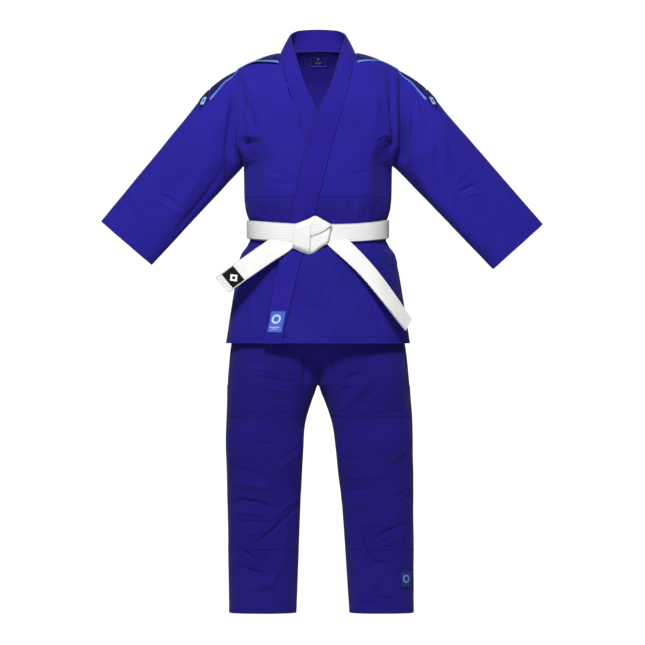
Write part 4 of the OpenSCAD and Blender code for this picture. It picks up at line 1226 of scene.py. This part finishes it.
def trousers(cloth, hem_cloth):
    surfaces = {}
    for hand, side in SIDE.items():
        surface = surfaces[hand] = trouser_surface(hand)
        z = surface.p[..., 2]
        stitches = furrow(z - TROUSER_Z - LEG_HEM_STITCH, 0.5, 1.2)
        sheet_of(side + "_trousers", surface, TROUSER_CLOTH, cloth, anchor=0.5, relief=stitches)
        rows = index_of(np.linspace(-760, -440, 150), z[:, 60])[:, None]
        knee = surface.sample(rows, column_at(np.linspace(-165.06, -14.94, 110)), 1.4)
        edge = (1 - np.abs(np.linspace(-1, 1, 150)))[:, None] * 160
        sheet_of(side + "_knee_patch", Surface(knee, inside=surface.inside), 1.2, cloth, anchor=0.5,
                 relief=furrow(edge - 5, 0.5, 1.183))
        rows = index_of(np.linspace(TROUSER_Z + 0.6, TROUSER_Z + LEG_HEM_STITCH + 1, 10), z[:, 120])[:, None]
        turned_up = surface.sample(rows, column_at(np.linspace(-180, 180, 200)), -TROUSER_CLOTH - GAP)
        sheet_of(side + "_leg_hem", Surface(turned_up, inside=surface.inside), HEM_FOLD, hem_cloth)
    surface = surfaces[LEFT]
    rows = index_of(np.linspace(-851, -814, 16), surface.p[:, 60, 2])[:, None]
    badge = Surface(surface.sample(rows, column_at(np.linspace(-58, -30, 16)), 1.6), inside=surface.inside)
    sheet_of("trouser_badge", badge, 1.2, trouser_badge_cloth())
    gusset(surfaces, cloth)
    waistband(hem_cloth)
    drawcord_loops(hem_cloth)


def gusset(surfaces, cloth):
    """The diamond between the legs: from each leg's inside edge up to a line along the middle."""
    lines = []
    for surface in surfaces.values():
        rows = index_of(np.linspace(GUSSET_END_Z, CROTCH_Z, 24), surface.p[:, 0, 2])
        front, back = surface.sample(rows, 0 * rows), surface.sample(rows, 0 * rows + TROUSER_COLUMNS - 1)
        lines.append(np.concatenate([front[::-1], back[1:]])[:, None])
    a, b = lines
    y = (a + b)[..., 1] / 2
    top = stack(0, y, CROTCH_Z + 1 - 3 * np.exp(-(y / 30) ** 2))
    c = 2 * top - (a + b) / 2
    t = np.linspace(0, 1, 24)[None, :, None]
    p = a * (1 - t) ** 2 + c * 2 * t * (1 - t) + b * t * t
    build("crotch_gusset", p, TROUSER_CLOTH, cloth, inside=[0, 0, -100.0])


def waistband(cloth):
    beta = np.linspace(0, 2 * math.pi, 300, endpoint=False)[None, :]
    z = np.linspace(-14.5, 26, 36)[:, None]
    gather = 0.5 * np.cos(beta * 64) * np.exp(-((z - 6) / 16) ** 2)
    p = oval(151.5 + gather, 93.5 + gather, z, beta)
    build("waistband", p, 3.6, cloth, wrap=True, inside=[0, 0, 6.0])


def drawcord_loops(cloth):
    z = np.linspace(-8, 22, 20)[:, None]
    across = np.linspace(-5, 5, 8)[None, :]
    bow = 1.6 * (1 - ((z - 7) / 15) ** 4)
    for k, x in enumerate((-40, 0, 40)):
        build(f"drawcord_loop_{k + 1}", stack(x + across, -94.6 - bow, z), 1.2, cloth, inside=[x, 0, 7.0])


# ---------------------------------------------------------------- putting it together


def arm_blend(piece, hand):
    """Bakes the piece's transform into its mesh."""
    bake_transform(piece)


def leg_blend(piece, hand):
    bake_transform(piece)


def flap_blend(piece):
    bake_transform(piece)


def tail_blend(piece, hand):
    """Bakes the piece's transform into its mesh."""
    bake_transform(piece)


def put(names, move, nodes=None):
    """Hides the CAD nodes that pieces stand for, by default those of the same names.
    move is the body that they ride on, or a function that is called on each of them."""
    for name in names:
        piece = PIECES[name]
        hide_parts(*(nodes or [name]))
        if callable(move):
            move(piece)
        else:
            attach(piece, move)


def put_on_bodies():
    put(["back_panel"], "jacket")
    put(["lapel_and_collar"], "jacket", ["right_lapel", "left_lapel", "collar"])
    put(["lapel_patch"], "jacket")
    put(["neck_label"], "jacket")
    put(["back_skirt"], flap_blend, ["back_skirt_top", "back_skirt"])
    put(["back_hem"], flap_blend)
    put(["belt_inner_wrap", "belt_outer_wrap"], "jacket")
    put(KNOT_FOLDS, "jacket", ["belt_knot"])
    put(["crotch_gusset", "waistband"], "trousers")
    put([f"drawcord_loop_{k}" for k in (1, 2, 3)], "trousers", ["drawcord_loops"])
    for hand, side in SIDE.items():
        arm, leg, tail = (functools.partial(bend, hand=hand) for bend in (arm_blend, leg_blend, tail_blend))
        put([side + "_front_panel"], "jacket")
        put([side + "_front_skirt", side + "_front_hem", side + "_vent_patch"], "jacket")
        put([side + "_sleeve"], arm, [side + "_sleeve_cap", side + "_sleeve"])
        put([side + "_cuff"], arm)
        for strip, slot, node in (("_yoke", "shoulder_navy", "_shoulder_yoke"),
                                  ("_front_piping", "piping_blue", "_shoulder_piping"),
                                  ("_back_piping", "piping_blue", "_shoulder_piping")):
            put([side + strip + "_neck_side"], "jacket", [side + node])
            put([side + strip + "_sleeve_side"], arm, [side + node])
        put([side + "_badge"], arm, [side + "_shoulder_badge"])
        put([side + "_trousers"], leg, [side + "_hip_panel", side + "_leg_panel"])
        put([side + "_knee_patch", side + "_leg_hem"], leg)
        put([side + "_belt_tail"], tail)
    put(["belt_label"], functools.partial(tail_blend, hand=RIGHT))
    put(["trouser_badge"], functools.partial(leg_blend, hand=LEFT))


def floor():
    """A pale round floor under the suit, in metres."""
    mesh = bpy.data.meshes.new("studio_floor")
    turns = np.linspace(0, 2 * math.pi, 96, endpoint=False)
    rim = [(1.9 * math.cos(turn), 0.3 + 1.9 * math.sin(turn), -1.25) for turn in turns]
    mesh.from_pydata(rim, [], [list(range(len(rim)))])
    mesh.materials.append(material("studio_paper", (0.85, 0.85, 0.85)))
    disc = bpy.data.objects.new("studio_floor", mesh)
    bpy.context.collection.objects.link(disc)


def surroundings():
    """A world that is white behind the suit, pale in front of it and grey at the sides."""
    world = bpy.data.worlds.new("studio_light")
    world.use_nodes = True
    tree = world.node_tree
    place = tree.nodes.new("ShaderNodeTexCoord")
    split = tree.nodes.new("ShaderNodeSeparateXYZ")
    tree.links.new(place.outputs["Generated"], split.inputs[0])
    both = tree.nodes.new("ShaderNodeMath")
    # y of the view's direction at the start and the end of each patch of light, and its strength there
    for socket, values in zip(both.inputs, ((0.91, 0.985, 0.16, 1.11), (-0.80, -0.96, 0.0, 0.45))):
        patch = tree.nodes.new("ShaderNodeMapRange")
        patch.interpolation_type = "SMOOTHSTEP"
        for setting, value in zip(patch.inputs[1:5], values):
            setting.default_value = value
        tree.links.new(split.outputs[1], patch.inputs[0])
        tree.links.new(patch.outputs[0], socket)
    background = tree.nodes["Background"]
    background.inputs[0].default_value = (1, 1, 1, 1)
    tree.links.new(both.outputs[0], background.inputs[1])
    bpy.context.scene.world = world


def area_light(name, place, aim, size, watts):
    lamp_data = bpy.data.lights.new(name, "AREA")
    lamp_data.size = size
    lamp_data.energy = watts
    lamp = bpy.data.objects.new(name, lamp_data)
    lamp.location = place
    lamp.rotation_euler = (Vector(aim) - Vector(place)).to_track_quat("-Z", "Y").to_euler()
    bpy.context.collection.objects.link(lamp)


def studio():
    """The floor, soft lights and a long lens at half the suit's height."""
    floor()
    surroundings()
    middle = (0, 0, -0.2)
    area_light("key", (-0.6, -3.9, 3.6), middle, 1.0, 340)
    area_light("fill", (0.6, -7.0, -0.1), middle, 1.6, 40)
    area_light("back", (0.0, 5.0, 2.4), middle, 1.6, 150)

    lens = bpy.data.cameras.new("camera")
    distance, view_width = 12.0, 1.567
    lens.sensor_width = 36
    lens.lens = 36 * distance / view_width
    camera = bpy.data.objects.new("camera", lens)
    camera.location = (0.011, -distance, -0.2126)
    camera.rotation_euler = (math.pi / 2, 0, 0)
    bpy.context.collection.objects.link(camera)
    bpy.context.scene.camera = camera
    bpy.context.scene.view_settings.view_transform = "Standard"


def main():
    weave, quilt, cotton = rice_weave(), quilted_weave(), belt_cloth()
    rows = stitch_places(LAPEL_W * MM)
    band_cloth = twill("lapel_twill", (0.012, 0.0075, 0.200), (0.017, 0.011, 0.235), rows=rows)
    cuff_cloth = twill("cuff_twill", BLUE, BLUE_LIGHT)
    trouser_cloth = twill("trouser_twill", *TROUSER_BLUES, pitch=0.0011)
    hem_cloth = twill("hem_twill", *TROUSER_BLUES, pitch=0.0011)

    jacket_panels(weave, quilt)
    lapels(band_cloth)
    shoulder_trim(sleeves(weave, cuff_cloth))
    belt_wraps(cotton)
    belt_tails(cotton)
    knot(cotton)
    trousers(trouser_cloth, hem_cloth)
    put_on_bodies()
    studio()


main()
